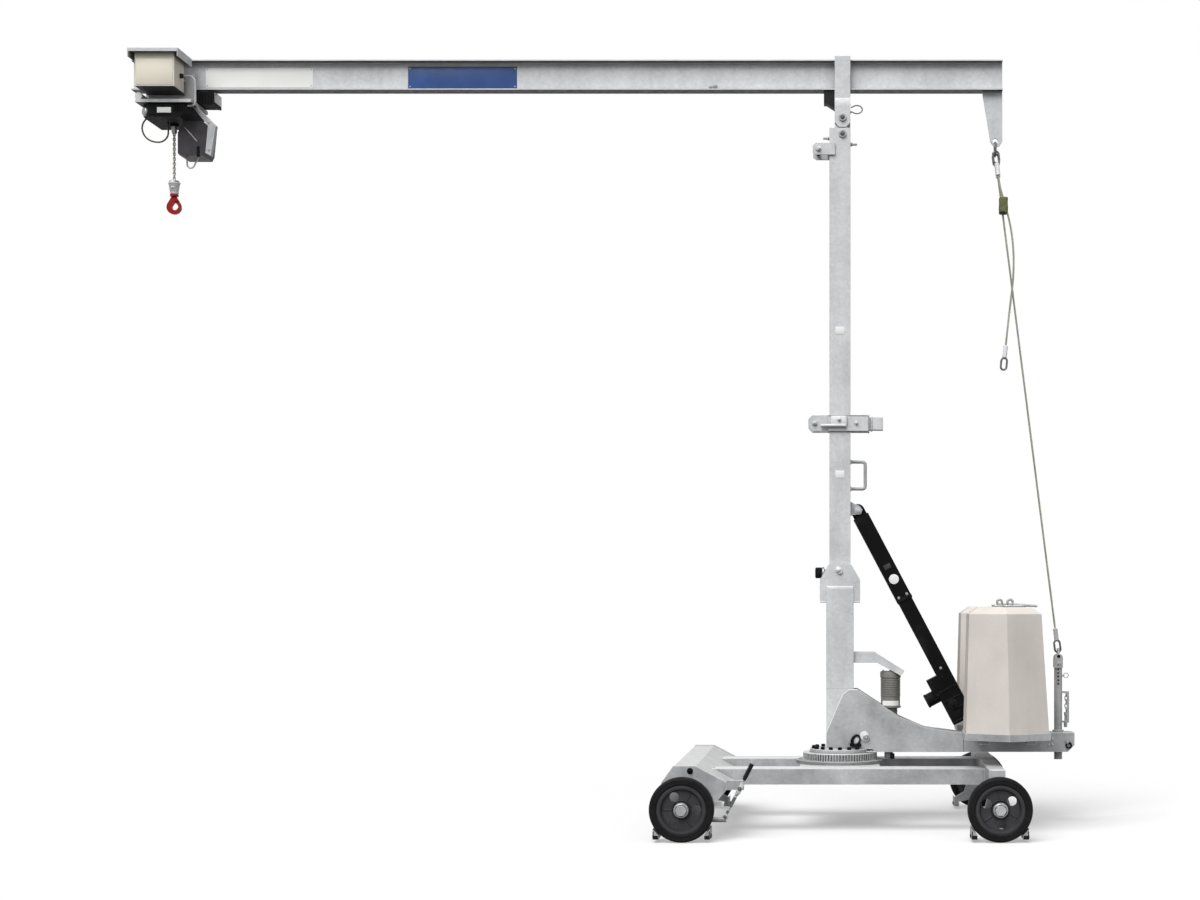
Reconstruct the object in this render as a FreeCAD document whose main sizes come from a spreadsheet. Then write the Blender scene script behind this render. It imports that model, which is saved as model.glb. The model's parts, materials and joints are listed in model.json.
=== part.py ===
import FreeCAD, Part
import Sketcher
import math
import os
import re

# A wheeled mini jib crane: a galvanised chassis on four wheels, a slewing post and mast,
# an I-beam jib with a chain hoist, a taut tail stay and two concrete counterweights.
# Millimetres. +Z is up, the jib points along -X, and the floor is at zero height.
# Lengths along X are measured from the slewing axis unless a note says otherwise.

SIZES = [
    ("running_gap", 0.4, "play between faces that slide or turn"),
    ("shaft_gap", 0.05, "radial play of a shaft in its bore"),
    ("seat_gap", 0.3, "play of a round piece in its seat"),
    ("sheet_wall", 10, "thickness of welded plates"),
    ("tube_wall", 6, "wall of the square tubes"),
    ("tail_reach", 1551, "slewing axis to the end of the counterweight arm"),
    ("jib_reach", 4700, "slewing axis to the jib tip"),
    ("jib_tail", 1080, "slewing axis to the jib tail"),
    ("wheel_radius", 200, "wheel"),
    ("wheel_width", 90, "tyre width"),
    ("rim_radius", 152, "outside of the rim"),
    ("rim_width", 78, "rim width"),
    ("rim_recess_radius", 130, "inside of the rim flange"),
    ("rim_web", 24, "thickness of the wheel disc"),
    ("rim_hole_radius", 30, "lightening holes of the wheel disc"),
    ("rim_hole_circle", 90, "radius on which the lightening holes lie"),
    ("hub_radius", 46, "wheel hub"),
    ("axle_radius", 18, "stub axle"),
    ("axle_washer", 6, "washer outside the hub"),
    ("axle_nut_flat", 30, "half the width across the flats of the axle nut"),
    ("axle_nut_height", 18, "axle nut"),
    ("front_reach", 968, "slewing axis forward to the front axle"),
    ("rear_reach", 985, "slewing axis back to the rear axle"),
    ("track", 2000, "distance between the wheel planes"),
    ("rail_width", 200, "chassis rail"),
    ("rail_height", 100, "chassis rail"),
    ("rail_spacing", 800, "distance between the rail centres"),
    ("rail_bottom", 306, "underside of the rails above the floor"),
    ("axle_beam_reach", 860, "half the length of the axle beams"),
    ("front_beam_top", 452, "top of the front axle beam above the floor"),
    ("front_beam_back", 64, "front beam, wheel centre to its outer face"),
    ("front_beam_flat", 72, "front beam, wheel centre to the fold"),
    ("front_beam_foot", 290, "front beam, wheel centre to its inner foot"),
    ("front_foot_height", 25, "upright lip at the foot of the fold"),
    ("end_plate_lip", 5, "front end plate above the beam"),
    ("end_plate_flare", 139, "front end plate, wheel centre to its outer corner"),
    ("end_plate_flare_height", 352, "outer corner of the front end plate above the floor"),
    ("end_plate_reach", 295, "front end plate, wheel centre to its inner corner"),
    ("end_plate_reach_height", 340, "inner corner of the front end plate above the floor"),
    ("end_plate_waist", 215, "front end plate, wheel centre to the foot of its inner corner"),
    ("end_plate_waist_height", 247, "foot of the inner corner above the floor"),
    ("rear_beam_width", 100, "rear axle beam"),
    ("rear_beam_rise", 24, "rear beam underside above the rail underside"),
    ("rear_beam_height", 100, "rear axle beam"),
    ("carrier_wall", 14, "wheel carrier plate"),
    ("carrier_low", 70, "lower edge of the carrier plate above the floor"),
    ("carrier_half", 120, "half width of the carrier plate at the wheel centre"),
    ("shoe_near", 140, "wheel centre to the near face of a wheel shoe"),
    ("shoe_far", 176, "wheel centre to the far face of a wheel shoe"),
    ("shoe_floor", 20, "underside of the shoes above the floor"),
    ("shoe_low", 45, "near top edge of the shoes above the floor"),
    ("shoe_high", 84, "far top edge of the shoes above the floor"),
    ("lever_diameter", 14, "brake lever bar"),
    ("lever_foot_x", 709, "slewing axis forward to the foot of the brake lever"),
    ("lever_foot_height", 142, "foot of the brake lever above the floor"),
    ("lever_grip_x", 592, "slewing axis forward to the lower end of the grip"),
    ("lever_grip_height", 371, "lower end of the grip above the floor"),
    ("grip_length", 111, "brake lever grip"),
    ("brake_bar_radius", 16, "round bar between the brake lever and the wheel"),
    ("brake_bar_start", 796, "slewing axis forward to the hidden end of that bar"),
    ("brake_stop_height", 227, "middle of the flat brake stop above the floor"),
    ("brake_stop_depth", 30, "flat brake stop"),
    ("brake_stop_end", 728, "slewing axis forward to the end of the flat brake stop"),
    ("grip_diameter", 24, "brake lever grip"),
    ("turntable_half", 260, "half length of the box that carries the slewing ring"),
    ("disc_radius", 290, "base disc of the slewing ring"),
    ("disc_height", 24, "base disc of the slewing ring"),
    ("gear_teeth", 80, "teeth of the slewing ring"),
    ("gear_tip_radius", 246, "slewing ring over its teeth"),
    ("gear_tooth_depth", 13, "depth of the teeth"),
    ("gear_height", 43, "height of the toothed ring"),
    ("gear_bore", 150, "bore of the toothed ring"),
    ("flange_radius", 200, "turning flange"),
    ("flange_height", 28, "turning flange"),
    ("spigot_height", 30, "spigot of the turning flange in the ring"),
    ("post_width", 180, "lower post"),
    ("post_top", 1555, "top of the lower post above the floor"),
    ("clevis_half", 133, "half width of the mast foot plates"),
    ("clevis_top_half", 75, "half width of the mast foot plates at their top"),
    ("clevis_bottom", 1473, "mast foot plates above the floor"),
    ("clevis_shoulder", 1620, "where the mast foot plates narrow"),
    ("clevis_top", 1720, "top of the mast foot plates"),
    ("clevis_pin_height", 1673, "mast foot pin above the floor"),
    ("clevis_pin_radius", 16, "mast foot pin"),
    ("clevis_pin_head", 12, "how far the mast foot pin stands out"),
    ("mast_width", 140, "mast tube"),
    ("mast_top", 4613, "top of the mast tube above the floor"),
    ("mast_corner", 12, "outer corner radius of the mast tube"),
    ("head_width", 110, "narrow mast head under the jib"),
    ("jib_bottom", 4870, "underside of the jib above the floor"),
    ("jib_height", 200, "I-beam"),
    ("jib_width", 100, "I-beam flange"),
    ("jib_web", 5.6, "I-beam web"),
    ("jib_flange", 8.5, "I-beam flange thickness"),
    ("strap_width", 104, "strap round the jib"),
    ("strap_offset", 17, "slewing axis to the middle of the strap"),
    ("strap_bottom", 4620, "lower end of the strap plates"),
    ("strap_cap", 20, "strap over the jib"),
    ("pivot_pin_height", 4683, "jib pivot pin above the floor"),
    ("lock_pin_drop", 110, "jib pivot pin down to the lock pin"),
    ("jib_pin_radius", 14, "jib pivot and lock pins"),
    ("jib_pin_head", 14, "how far the jib pins stand out"),
    ("buffer_length", 72, "rubber buffer beside the strap"),
    ("buffer_height", 122, "rubber buffer under the jib at the strap"),
    ("buffer_low", 87, "rubber buffer under the jib at its free end"),
    ("buffer_width", 80, "rubber buffer across the jib"),
    ("tail_plate_wall", 12, "stay plate under the jib tail"),
    ("tail_plate_length", 134, "stay plate at the jib"),
    ("tail_plate_foot", 79, "stay plate at its lower end"),
    ("tail_plate_drop", 366, "stay plate below the jib"),
    ("tail_plate_hole", 17, "radius of the stay hole"),
    ("tail_hole_inset", 47, "jib tail back to the stay hole"),
    ("tail_hole_rise", 36, "stay hole above the end of the stay plate"),
    ("stay_diameter", 14, "wire rope of the stay"),
    ("stay_foot_x", 1452, "slewing axis to the tension tube and lower stay eye"),
    ("stay_foot_height", 1140, "lower stay eye above the floor"),
    ("shackle_radius", 46, "middle radius of the ring in the stay plate"),
    ("spare_offset", 25, "loose rope beside the stay in the ring"),
    ("ferrule_diameter", 24, "pressed ferrule of the ropes"),
    ("ferrule_length", 80, "pressed ferrule of the ropes"),
    ("eye_length", 92, "rope eye outside its thimble"),
    ("eye_width", 52, "rope eye outside its thimble"),
    ("arm_bottom", 482, "underside of the counterweight arm above the floor"),
    ("arm_height", 127, "counterweight arm"),
    ("arm_start", 236, "slewing axis to the start of the deep part of the arm"),
    ("cheek_front", 92, "side plates of the arm before the slewing axis"),
    ("cheek_top", 895, "highest point of the arm side plates"),
    ("cheek_peak_x", 60, "slewing axis to that highest point"),
    ("cheek_mid_x", 396, "side plates, start of the low slope"),
    ("cheek_mid_height", 714, "side plates, start of the low slope"),
    ("cheek_end", 812, "side plates, end of the low slope"),
    ("tail_chamfer", 45, "chamfer under the end of the arm"),
    ("tension_tube_radius", 27, "tension tube"),
    ("tension_tube_bottom", 428, "lower end of the tension tube above the floor"),
    ("tension_tube_top", 1080, "upper end of the tension tube above the floor"),
    ("tension_collar", 38, "radius of the tension tube collar"),
    ("tension_collar_height", 14, "tension tube collar"),
    ("toggle_length", 210, "toggle lever on the tension tube"),
    ("toggle_bar", 14, "bar of the toggle lever"),
    ("toggle_height", 670, "lower end of the toggle lever above the floor"),
    ("weight_x", 1068, "slewing axis to the counterweight centres"),
    ("weight_spacing", 844, "distance between the counterweight centres"),
    ("weight_bottom_side", 307, "side of the hexagonal block at its foot"),
    ("weight_top_side", 266, "side of the hexagonal block at its top"),
    ("weight_cap_side", 192, "side of the flat top inside the bevel"),
    ("weight_height", 797, "block up to the bevel"),
    ("weight_bevel", 44, "height of the bevelled top"),
    ("weight_lean", 14, "top of the block towards the mast"),
    ("tray_wall", 6, "weight tray sheet"),
    ("tray_play", 3, "play between block and tray rim"),
    ("tray_rim", 46, "height of the tray rim"),
    ("tray_sink", 15, "tray floor below the top of the arm"),
    ("tray_bar", 60, "width of the bars under the trays"),
    ("tray_bar_depth", 26, "depth of the bars under the trays"),
    ("tray_bar_spacing", 300, "distance between the bars under a tray"),
    ("lift_bar", 14, "bar of the lifting rings"),
    ("lift_ring_length", 165, "folded lifting ring"),
    ("lift_ring_width", 70, "folded lifting ring"),
    ("actuator_top_x", 118, "slewing axis to the upper actuator pin"),
    ("actuator_top_height", 2079, "upper actuator pin above the floor"),
    ("actuator_foot_x", 872, "slewing axis to the lower actuator pin"),
    ("actuator_foot_height", 650, "lower actuator pin above the floor"),
    ("sleeve_width", 107, "actuator sleeve"),
    ("sleeve_length", 676, "actuator sleeve"),
    ("ram_width", 98, "actuator lower tube"),
    ("gear_foot", 58, "actuator gear housing from the lower pin along the strut"),
    ("gear_reach", 100, "gear housing away from the strut axis"),
    ("gear_length", 345, "gear housing along the strut"),
    ("gear_half", 52, "half width of the gear housing"),
    ("gear_step_reach", 125, "upper step of the gear housing away from the strut axis"),
    ("gear_step_length", 88, "upper step of the gear housing"),
    ("gear_motor_step", 79, "gear motor from the top of the gear housing"),
    ("gear_motor_reach", 190, "gear motor away from the strut axis"),
    ("gear_motor_radius", 44, "gear motor"),
    ("ear_wall", 12, "bracket ears"),
    ("actuator_pin_radius", 15, "actuator pins"),
    ("motor_x", 336, "slewing axis to the slewing motor"),
    ("motor_radius", 64, "slewing motor"),
    ("motor_bottom", 770, "lower end of the slewing motor above the floor"),
    ("motor_height", 225, "slewing motor"),
    ("motor_cap", 19, "cap of the slewing motor"),
    ("motor_foot_radius", 46, "gear neck under the slewing motor"),
    ("guard_height", 1134, "motor guard above the floor"),
    ("guard_bend_x", 228, "slewing axis to the bend of the guard"),
    ("guard_tip_x", 426, "slewing axis to the tip of the guard"),
    ("guard_tip_drop", 125, "fall of the guard to its tip"),
    ("guard_width", 150, "motor guard across"),
    ("guard_wall", 8, "motor guard sheet"),
    ("guard_lip", 63, "depth of the guard side lips"),
    ("knob_height", 1667, "lock knob above the floor"),
    ("knob_radius", 30, "lock knob"),
    ("knob_length", 52, "lock knob"),
    ("knob_stem", 35, "stem of the lock knob"),
    ("ear_top_height", 4472, "upper storage bracket pin above the floor"),
    ("ear_top_reach", 180, "upper storage bracket before the axis"),
    ("ear_top_depth", 78, "upper storage bracket"),
    ("ear_top_overlap", 37, "upper storage bracket along the mast face"),
    ("ear_top_pin_inset", 34, "front of the upper storage bracket back to its pin"),
    ("clamp_height", 2657, "storage clamp above the floor"),
    ("clamp_depth", 104, "storage clamp"),
    ("clamp_front", 210, "storage clamp before the axis"),
    ("clamp_sleeve_end", 187, "slewing axis to the end of the clamp sleeve"),
    ("clamp_tube_end", 286, "slewing axis to the end of the clamp tube"),
    ("clamp_tube_depth", 82, "clamp tube"),
    ("handle_reach", 96, "handle away from the mast"),
    ("handle_diameter", 16, "handle bar"),
    ("hoist_x", 4432, "slewing axis forward to the load chain"),
    ("trolley_wheel_radius", 38, "trolley wheels"),
    ("trolley_wheel_width", 26, "trolley wheels"),
    ("trolley_wheel_base", 190, "distance between the trolley axles"),
    ("trolley_plate_wall", 12, "trolley side plates"),
    ("trolley_plate_gap", 18, "jib flange to the trolley side plates"),
    ("trolley_plate_length", 320, "trolley side plates"),
    ("carriage_wall", 22, "carriage plate"),
    ("carriage_front", 179, "carriage plate before the load chain"),
    ("carriage_back", 187, "carriage plate behind the load chain"),
    ("carriage_half", 220, "carriage plate towards the control box"),
    ("carriage_far", 110, "carriage plate away from the control box"),
    ("roller_radius", 24, "round bar on the front of the carriage plate"),
    ("roller_inset", 165, "load chain forward to that round bar"),
    ("roller_near", 200, "near end of that round bar"),
    ("roller_far", 90, "far end of that round bar"),
    ("box_length", 257, "control box along the jib"),
    ("box_depth", 180, "control box across"),
    ("box_height", 232, "control box"),
    ("box_shift", 24, "control box middle before the load chain"),
    ("box_standoff", 38, "control box away from the trolley side plate"),
    ("hood_overhang", 36, "hood beyond the control box"),
    ("hood_wall", 6, "hood sheet"),
    ("hood_lip", 49, "hood side lips"),
    ("hood_front_lip", 16, "hood front lip"),
    ("hoist_front", 158, "hoist body before the load chain"),
    ("hoist_back", 153, "hoist body behind the load chain"),
    ("hoist_near", 200, "hoist body towards the control box"),
    ("hoist_far", 150, "hoist body away from the control box"),
    ("hoist_height", 92, "hoist body"),
    ("hoist_corner_x", 102, "near corner of the hoist body before the load chain"),
    ("hoist_corner_y", 130, "where the near corner of the hoist body starts"),
    ("hoist_bevel", 20, "bevel of the hoist body"),
    ("hoist_slant", 45, "slanted back of the hoist body"),
    ("cover_bend", 312, "load chain back to the knee of the hoist cover"),
    ("cover_foot", 278, "load chain back to the foot of the hoist cover"),
    ("cover_flange", 34, "depth of the side flanges of the hoist cover"),
    ("cover_wall", 6, "hoist cover sheet"),
    ("cover_near", 110, "near side of the hoist cover from the middle of the jib"),
    ("cover_width", 44, "hoist cover across the jib"),
    ("bin_start", 56, "load chain back to the chain bin"),
    ("bin_half", 95, "half width of the chain bin"),
    ("bin_neck", 40, "neck of the chain bin behind its front"),
    ("bin_lip", 14, "bevel of the chain bin at its foot"),
    ("bin_play", 8, "play between chain bin and hoist cover"),
    ("drive_block_start", 172, "load chain back to the travel drive"),
    ("drive_block_length", 104, "travel drive"),
    ("drive_block_height", 87, "travel drive"),
    ("drive_block_half", 70, "half width of the travel drive"),
    ("drive_plate_wall", 12, "end plate of the travel drive"),
    ("chain_bar", 6, "bar of the chain links"),
    ("chain_pitch", 18, "inner length of a chain link"),
    ("chain_slot", 8, "inner width of a chain link"),
    ("chain_slack", 1.6, "play of one link in the next"),
    ("carriage_drop", 104, "carriage plate below the jib"),
    ("box_rise", 63, "control box above the carriage plate"),
    ("cover_bend_drop", 126, "knee of the hoist cover below the carriage"),
    ("cover_foot_drop", 324, "foot of the hoist cover below the carriage"),
    ("bin_top_drop", 77, "shoulder of the chain bin below the hoist"),
    ("bin_low_drop", 228, "foot of the chain bin below the hoist"),
    ("load_drop", 376, "hook block below the hoist"),
    ("cable_loop", 99, "how far the control cable loops out"),
    ("cable_rise", 95, "control cable above the foot of the box"),
    ("rear_beam_shift", 6, "rear axle beam before the wheel axis"),
    ("hub_lip", 4, "bevel of the wheel hubs"),
    ("brake_bracket", 30, "half height of the brake bracket"),
    ("cut_over", 1, "how far a cut runs past the face"),
    ("clamp_bevel", 26, "bevel of the clamp ears"),
    ("clamp_pin_inset", 42, "clamp pin behind the end of its ears"),
    ("weld_root", 10, "how deep a welded piece sits in the next"),
    ("strap_round", 30, "rounding of the foot of the jib strap"),
    ("strap_flat", 22, "half width of the foot of the jib strap"),
    ("tail_round", 30, "rounding of the foot of the stay plate"),
    ("tail_bevel", 23, "bevel of the foot of the stay plate"),
    ("cheek_shoulder", 40, "shoulder of the arm cheeks before their top"),
    ("cheek_shoulder_drop", 30, "shoulder of the arm cheeks below their top"),
    ("cheek_ridge", 60, "flat top of the arm cheeks"),
    ("cheek_toe", 20, "foot of the arm cheeks under the arm"),
    ("cheek_sag", 33, "hollow of the arm cheeks above the arm"),
    ("deck_drop", 12, "deck below the edge of the arm cheeks"),
    ("boss_x", 172, "slewing axis back to the arm boss"),
    ("boss_rise", 30, "arm boss above the middle of the arm"),
    ("boss_radius", 23, "arm boss"),
    ("boss_reach", 12, "arm boss past the cheek"),
    ("tension_lug", 28, "lug of the tension tube above the stay"),
    ("toggle_reach", 46, "toggle lever away from the tension tube"),
    ("lug_half", 20, "half width of the actuator lugs"),
    ("lug_depth", 30, "half depth of the actuator lugs"),
    ("lug_reach", 24, "actuator lugs past their pins"),
    ("sleeve_start", 42, "actuator sleeve below its pin"),
    ("bracket_foot", 30, "foot of the upper actuator bracket below its pin"),
    ("bracket_head", 60, "head of the upper actuator bracket above its pin"),
    ("bracket_round", 32, "actuator brackets round their pins"),
    ("bracket_base", 50, "half length of the lower actuator bracket"),
    ("bracket_top", 22, "lower actuator bracket above its pin"),
    ("pin_head", 8, "actuator pins past their brackets"),
    ("guard_fold", 6, "fold of the motor guard at its tip"),
    ("guard_lip_end", 18, "end of the side lips of the motor guard"),
    ("roller_gap", 8, "trolley wheels from the side plates"),
    ("box_foot_low", 20, "box bracket above the foot of the box"),
    ("box_foot_high", 90, "top of the box bracket above the foot of the box"),
    ("cover_top", 30, "top of the hoist cover under the carriage"),
    ("drive_plate_lip", 10, "end plate past the sides of the travel drive"),
    ("chain_links", 23, "links of the hanging chain"),
    ("block_height", 90, "hook block"),
    ("block_radius", 38, "hook block"),
    ("block_foot_radius", 25, "hook block at its foot"),
    ("block_shoulder", 14, "rounded top of the hook block"),
    ("collar_radius", 28, "collar under the hook block"),
    ("collar_height", 13, "collar under the hook block"),
    ("hook_stem_radius", 10, "stem of the hook in the block"),
    ("hook_height", 120, "hook below the collar"),
    ("hook_radius", 48, "outside of the hook bow"),
    ("hook_eye_radius", 21, "opening of the hook"),
    ("hook_eye_shift", 7, "opening of the hook beside the chain line"),
    ("hook_eye_height", 50, "height of the opening of the hook"),
    ("hook_neck", 13, "half width of the hook neck"),
    ("hook_wall", 26, "thickness of the hook"),
    ("latch_low", 6, "lower end of the latch below the middle of the bow"),
    ("latch_high", 40, "upper end of the latch above the middle of the bow"),
    ("cable_diameter", 14, "control cable"),
]

# Places that follow from the sizes above.
DERIVED = {
    "axis_x": "(jib_reach - tail_reach) / 2",
    "front_x": "-front_reach",
    "rear_x": "rear_reach",
    "rail_top": "rail_bottom + rail_height",
    "rail_start": "front_x + front_beam_foot",
    "rail_end": "rear_x - rear_beam_width / 2 - rear_beam_shift",
    "disc_top": "rail_top + disc_height",
    "gear_top": "disc_top + gear_height",
    "flange_bottom": "gear_top + running_gap",
    "flange_top": "flange_bottom + flange_height",
    "jib_top": "jib_bottom + jib_height",
    "arm_top": "arm_bottom + arm_height",
    "cheek_inner": "post_width / 2",
    "cheek_outer": "post_width / 2 + sheet_wall",
    "tray_bottom": "arm_top - tray_sink",
    "weight_bottom": "tray_bottom + tray_wall",
    "stay_top_x": "jib_tail - tail_hole_inset",
    "tail_hole_height": "jib_bottom - tail_plate_drop + tail_hole_rise",
    "ring_height": "tail_hole_height - tail_plate_hole + stay_diameter * 0.6 - shackle_radius",
    "eye_seat": "shackle_radius - stay_diameter - 2 * running_gap",
    "stay_top_height": "ring_height - eye_seat",
    "stay_hole_height": "stay_foot_height - tail_plate_hole + stay_diameter / 2 + 7 * running_gap",
    "chain_bore": "sqrt(pow(chain_slot / 2 + chain_bar; 2) + pow(chain_bar / 2; 2)) + running_gap",
    "stay_length": "sqrt(pow(stay_foot_x - stay_top_x; 2) + pow(stay_top_height - stay_foot_height; 2))",
    "stay_angle": "atan((stay_foot_x - stay_top_x) / (stay_top_height - stay_foot_height))",
    "actuator_length": "sqrt(pow(actuator_foot_x - actuator_top_x; 2)"
                       " + pow(actuator_top_height - actuator_foot_height; 2))",
    "actuator_angle": "atan((actuator_foot_x - actuator_top_x)"
                      " / (actuator_top_height - actuator_foot_height))",
    "gear_start": "actuator_length - gear_foot - gear_length",
    "handle_bottom": "actuator_top_height + (clamp_height - actuator_top_height) * 3 / 13",
    "handle_top": "actuator_top_height + (clamp_height - actuator_top_height) * 10 / 17",
    "strap_inner": "head_width / 2",
    "strap_outer": "head_width / 2 + sheet_wall",
    "lock_pin_height": "pivot_pin_height - lock_pin_drop",
    "trolley_inner": "jib_width / 2 + trolley_plate_gap",
    "trolley_outer": "jib_width / 2 + trolley_plate_gap + trolley_plate_wall",
    "carriage_top": "jib_bottom - carriage_drop",
    "carriage_bottom": "carriage_top - carriage_wall",
    "box_bottom": "carriage_top + box_rise",
    "hoist_bottom": "carriage_bottom - hoist_height",
    "cover_bend_height": "carriage_bottom - cover_bend_drop",
    "cover_foot_height": "carriage_bottom - cover_foot_drop",
    "bin_top": "hoist_bottom - bin_top_drop",
    "bin_low": "hoist_bottom - bin_low_drop",
    "block_top": "hoist_bottom - load_drop",
    "box_far": "-trolley_outer - box_standoff",
    "chain_step": "chain_pitch - chain_slack",
    "block_bottom": "block_top - block_height",
    "collar_bottom": "block_bottom - collar_height",
    "bow_height": "collar_bottom - hook_height + hook_radius",
}

doc = FreeCAD.newDocument("mini_jib_crane")
sheet = doc.addObject("Spreadsheet::Sheet", "Sizes")
for row, (alias, value, note) in enumerate(SIZES, 1):
    sheet.set(f"A{row}", note)
    sheet.set(f"B{row}", str(value))
    sheet.setAlias(f"B{row}", alias)
doc.recompute()

SIZE_NAMES = {alias for alias, value, note in SIZES}
PLANES = {"XY": "XY_Plane", "XZ": "XZ_Plane", "YZ": "YZ_Plane"}
nodes = []


def expr(text):
    """Point every size name in a formula at the sheet, with derived places written out."""
    def swap(match):
        word = match.group(0)
        if word in DERIVED:
            return "(" + expr(DERIVED[word]) + ")"
        if word in SIZE_NAMES:
            return "Sizes." + word
        return word
    return re.sub(r"[A-Za-z_]\w*", swap, str(text))


def number(text):
    """The present value of a formula, for shapes that are worked out point by point."""
    found = sheet.evalExpression(expr(text))
    return float(getattr(found, "Value", found))


def bind(thing, prop, text):
    thing.setExpression(prop, expr(text))


def place(thing, x="0", y="0", z="0"):
    """Put a piece at a point measured from the slewing axis."""
    bind(thing, "Placement.Base.x", f"axis_x + {x}")
    bind(thing, "Placement.Base.y", y)
    bind(thing, "Placement.Base.z", z)


def tilt(thing, angle):
    """Lean a piece that hangs down along -Z towards +X."""
    thing.Placement.Rotation = FreeCAD.Rotation(FreeCAD.Vector(0, 1, 0), -number(angle))
    bind(thing, "Placement.Rotation.Angle", f"-({angle})")


def node(thing, label):
    """Name a finished sub-part; the name becomes its file."""
    thing.Label = label
    nodes.append(thing)
    return thing


def box(x, y, z, local=False):
    """A box from three pairs of low and high places."""
    solid = doc.addObject("Part::Box", "Block")
    for prop, (low, high) in zip(("Length", "Width", "Height"), (x, y, z)):
        bind(solid, prop, f"({high}) - ({low})")
    shift = "0" if local else "axis_x"
    bind(solid, "Placement.Base.x", f"{shift} + {x[0]}")
    bind(solid, "Placement.Base.y", y[0])
    bind(solid, "Placement.Base.z", z[0])
    return solid


TURNS = {
    "x": FreeCAD.Rotation(FreeCAD.Vector(0, 1, 0), 90),
    "y": FreeCAD.Rotation(FreeCAD.Vector(1, 0, 0), -90),
    "z": FreeCAD.Rotation(),
}


def rod(axis, x, y, z, radius, length, local=False):
    """A round bar that starts at a point and runs along one axis."""
    solid = doc.addObject("Part::Cylinder", "Rod")
    bind(solid, "Radius", radius)
    bind(solid, "Height", length)
    solid.Placement.Rotation = TURNS[axis]
    shift = "0" if local else "axis_x"
    bind(solid, "Placement.Base.x", f"{shift} + {x}")
    bind(solid, "Placement.Base.y", y)
    bind(solid, "Placement.Base.z", z)
    return solid


def fuse(*solids):
    joined = doc.addObject("Part::MultiFuse", "Joined")
    joined.Shapes = list(solids)
    return joined


def cut(base, *tools):
    carved = doc.addObject("Part::Cut", "Carved")
    carved.Base = base
    carved.Tool = tools[0] if len(tools) == 1 else fuse(*tools)
    return carved


def together(*solids):
    """Like pieces that don't touch, kept in one sub-part."""
    group = doc.addObject("Part::Compound", "Group")
    group.Links = list(solids)
    return group


def outline(body, plane, corners):
    """A closed sketch whose corners are tied to the sheet."""
    sketch = body.newObject("Sketcher::SketchObject", body.Name + "_outline")
    support = [part for part in body.Origin.OriginFeatures if part.Role == PLANES[plane]]
    sketch.AttachmentSupport = [(support[0], "")]
    sketch.MapMode = "FlatFace"
    points = [FreeCAD.Vector(number(u), number(v), 0) for u, v in corners]
    count = len(points)
    for start, end in zip(points, points[1:] + points[:1]):
        sketch.addGeometry(Part.LineSegment(start, end), False)
    for line in range(count):
        sketch.addConstraint(Sketcher.Constraint("Coincident", line, 2, (line + 1) % count, 1))
    for line, pair in enumerate(corners):
        for kind, text in zip(("DistanceX", "DistanceY"), pair):
            index = sketch.addConstraint(Sketcher.Constraint(kind, -1, 1, line, 1, number(text)))
            sketch.setExpression(f"Constraints[{index}]", expr(text))
    return sketch


def profile(plane, corners, length, x="0", y="0", z="0", local=False):
    """A padded outline. XZ pads towards -Y, YZ towards +X and XY towards +Z."""
    body = doc.addObject("PartDesign::Body", "Profile")
    pad = body.newObject("PartDesign::Pad", body.Name + "_pad")
    pad.Profile = outline(body, plane, corners)
    bind(pad, "Length", length)
    body.Tip = pad
    if local:
        x = f"{x} - axis_x"
    place(body, x, y, z)
    return body


def turned(corners, x="0", y="0", z="0"):
    """A ring or disc turned about a line along Y; corners are (across, radius)."""
    body = doc.addObject("PartDesign::Body", "Turned")
    spin = body.newObject("PartDesign::Revolution", body.Name + "_turn")
    sketch = outline(body, "YZ", corners)
    spin.Profile = sketch
    spin.ReferenceAxis = (sketch, ["H_Axis"])
    spin.Angle = 360
    body.Tip = spin
    place(body, x, y, z)
    return body


def prism(sides, reach, height, x, y, z, turn=0):
    """A regular prism with the given corner radius."""
    solid = doc.addObject("Part::Prism", "Prism")
    solid.Polygon = sides
    bind(solid, "Circumradius", reach)
    bind(solid, "Height", height)
    solid.Placement.Rotation = FreeCAD.Rotation(FreeCAD.Vector(0, 0, 1), turn)
    place(solid, x, y, z)
    return solid


def made(shape):
    """A shape worked out with curve and sweep functions."""
    thing = doc.addObject("Part::Feature", "Shaped")
    thing.Shape = shape if shape.Placement.isIdentity() else Part.makeCompound([shape])
    return thing


def oval(length, width, steps):
    """Corners of an oval about the origin in the XZ plane, long along Z."""
    half = width / 2
    rise = length / 2 - half
    corners = []
    for way in (1, -1):
        for step in range(steps + 1):
            angle = math.pi * step / steps
            corners.append((way * half * math.cos(angle), 0, way * (rise + half * math.sin(angle))))
    return corners


def faceted_bar(points, radius, sides=8, closed=False):
    """A bar of few sides along straight runs that meet in mitres."""
    spots = [FreeCAD.Vector(*point) for point in points]
    count = len(spots)
    runs = [(spots[(index + 1) % count] - spots[index]).normalize() for index in range(count)]
    before = runs[-1:] + runs[:-1]
    if not closed:
        runs[-1] = runs[-2]
        before[0] = runs[0]
    mitres = [(last + run).normalize() for last, run in zip(before, runs)]
    rim = Part.makeCircle(radius, spots[0], runs[0]).discretize(sides + 1)[:-1]
    rings = []
    for spot, mitre, run in zip(spots, mitres, runs[:1] + runs):
        rim = [corner + run * ((spot - corner).dot(mitre) / run.dot(mitre)) for corner in rim]
        rings.append(rim)
    pairs = list(zip(rings, rings[1:]))
    if closed:
        pairs.append((rings[-1], rings[0]))
    faces = []
    for low, high in pairs:
        for side in range(sides):
            far = (side + 1) % sides
            faces.append([low[side], low[far], high[far], high[side]])
    if not closed:
        faces += [rings[0], rings[-1]]
    shell = Part.Shell([Part.Face(Part.makePolygon(face + face[:1])) for face in faces])
    solid = Part.Solid(shell)
    if solid.Volume < 0:
        solid.reverse()
    return solid


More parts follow.
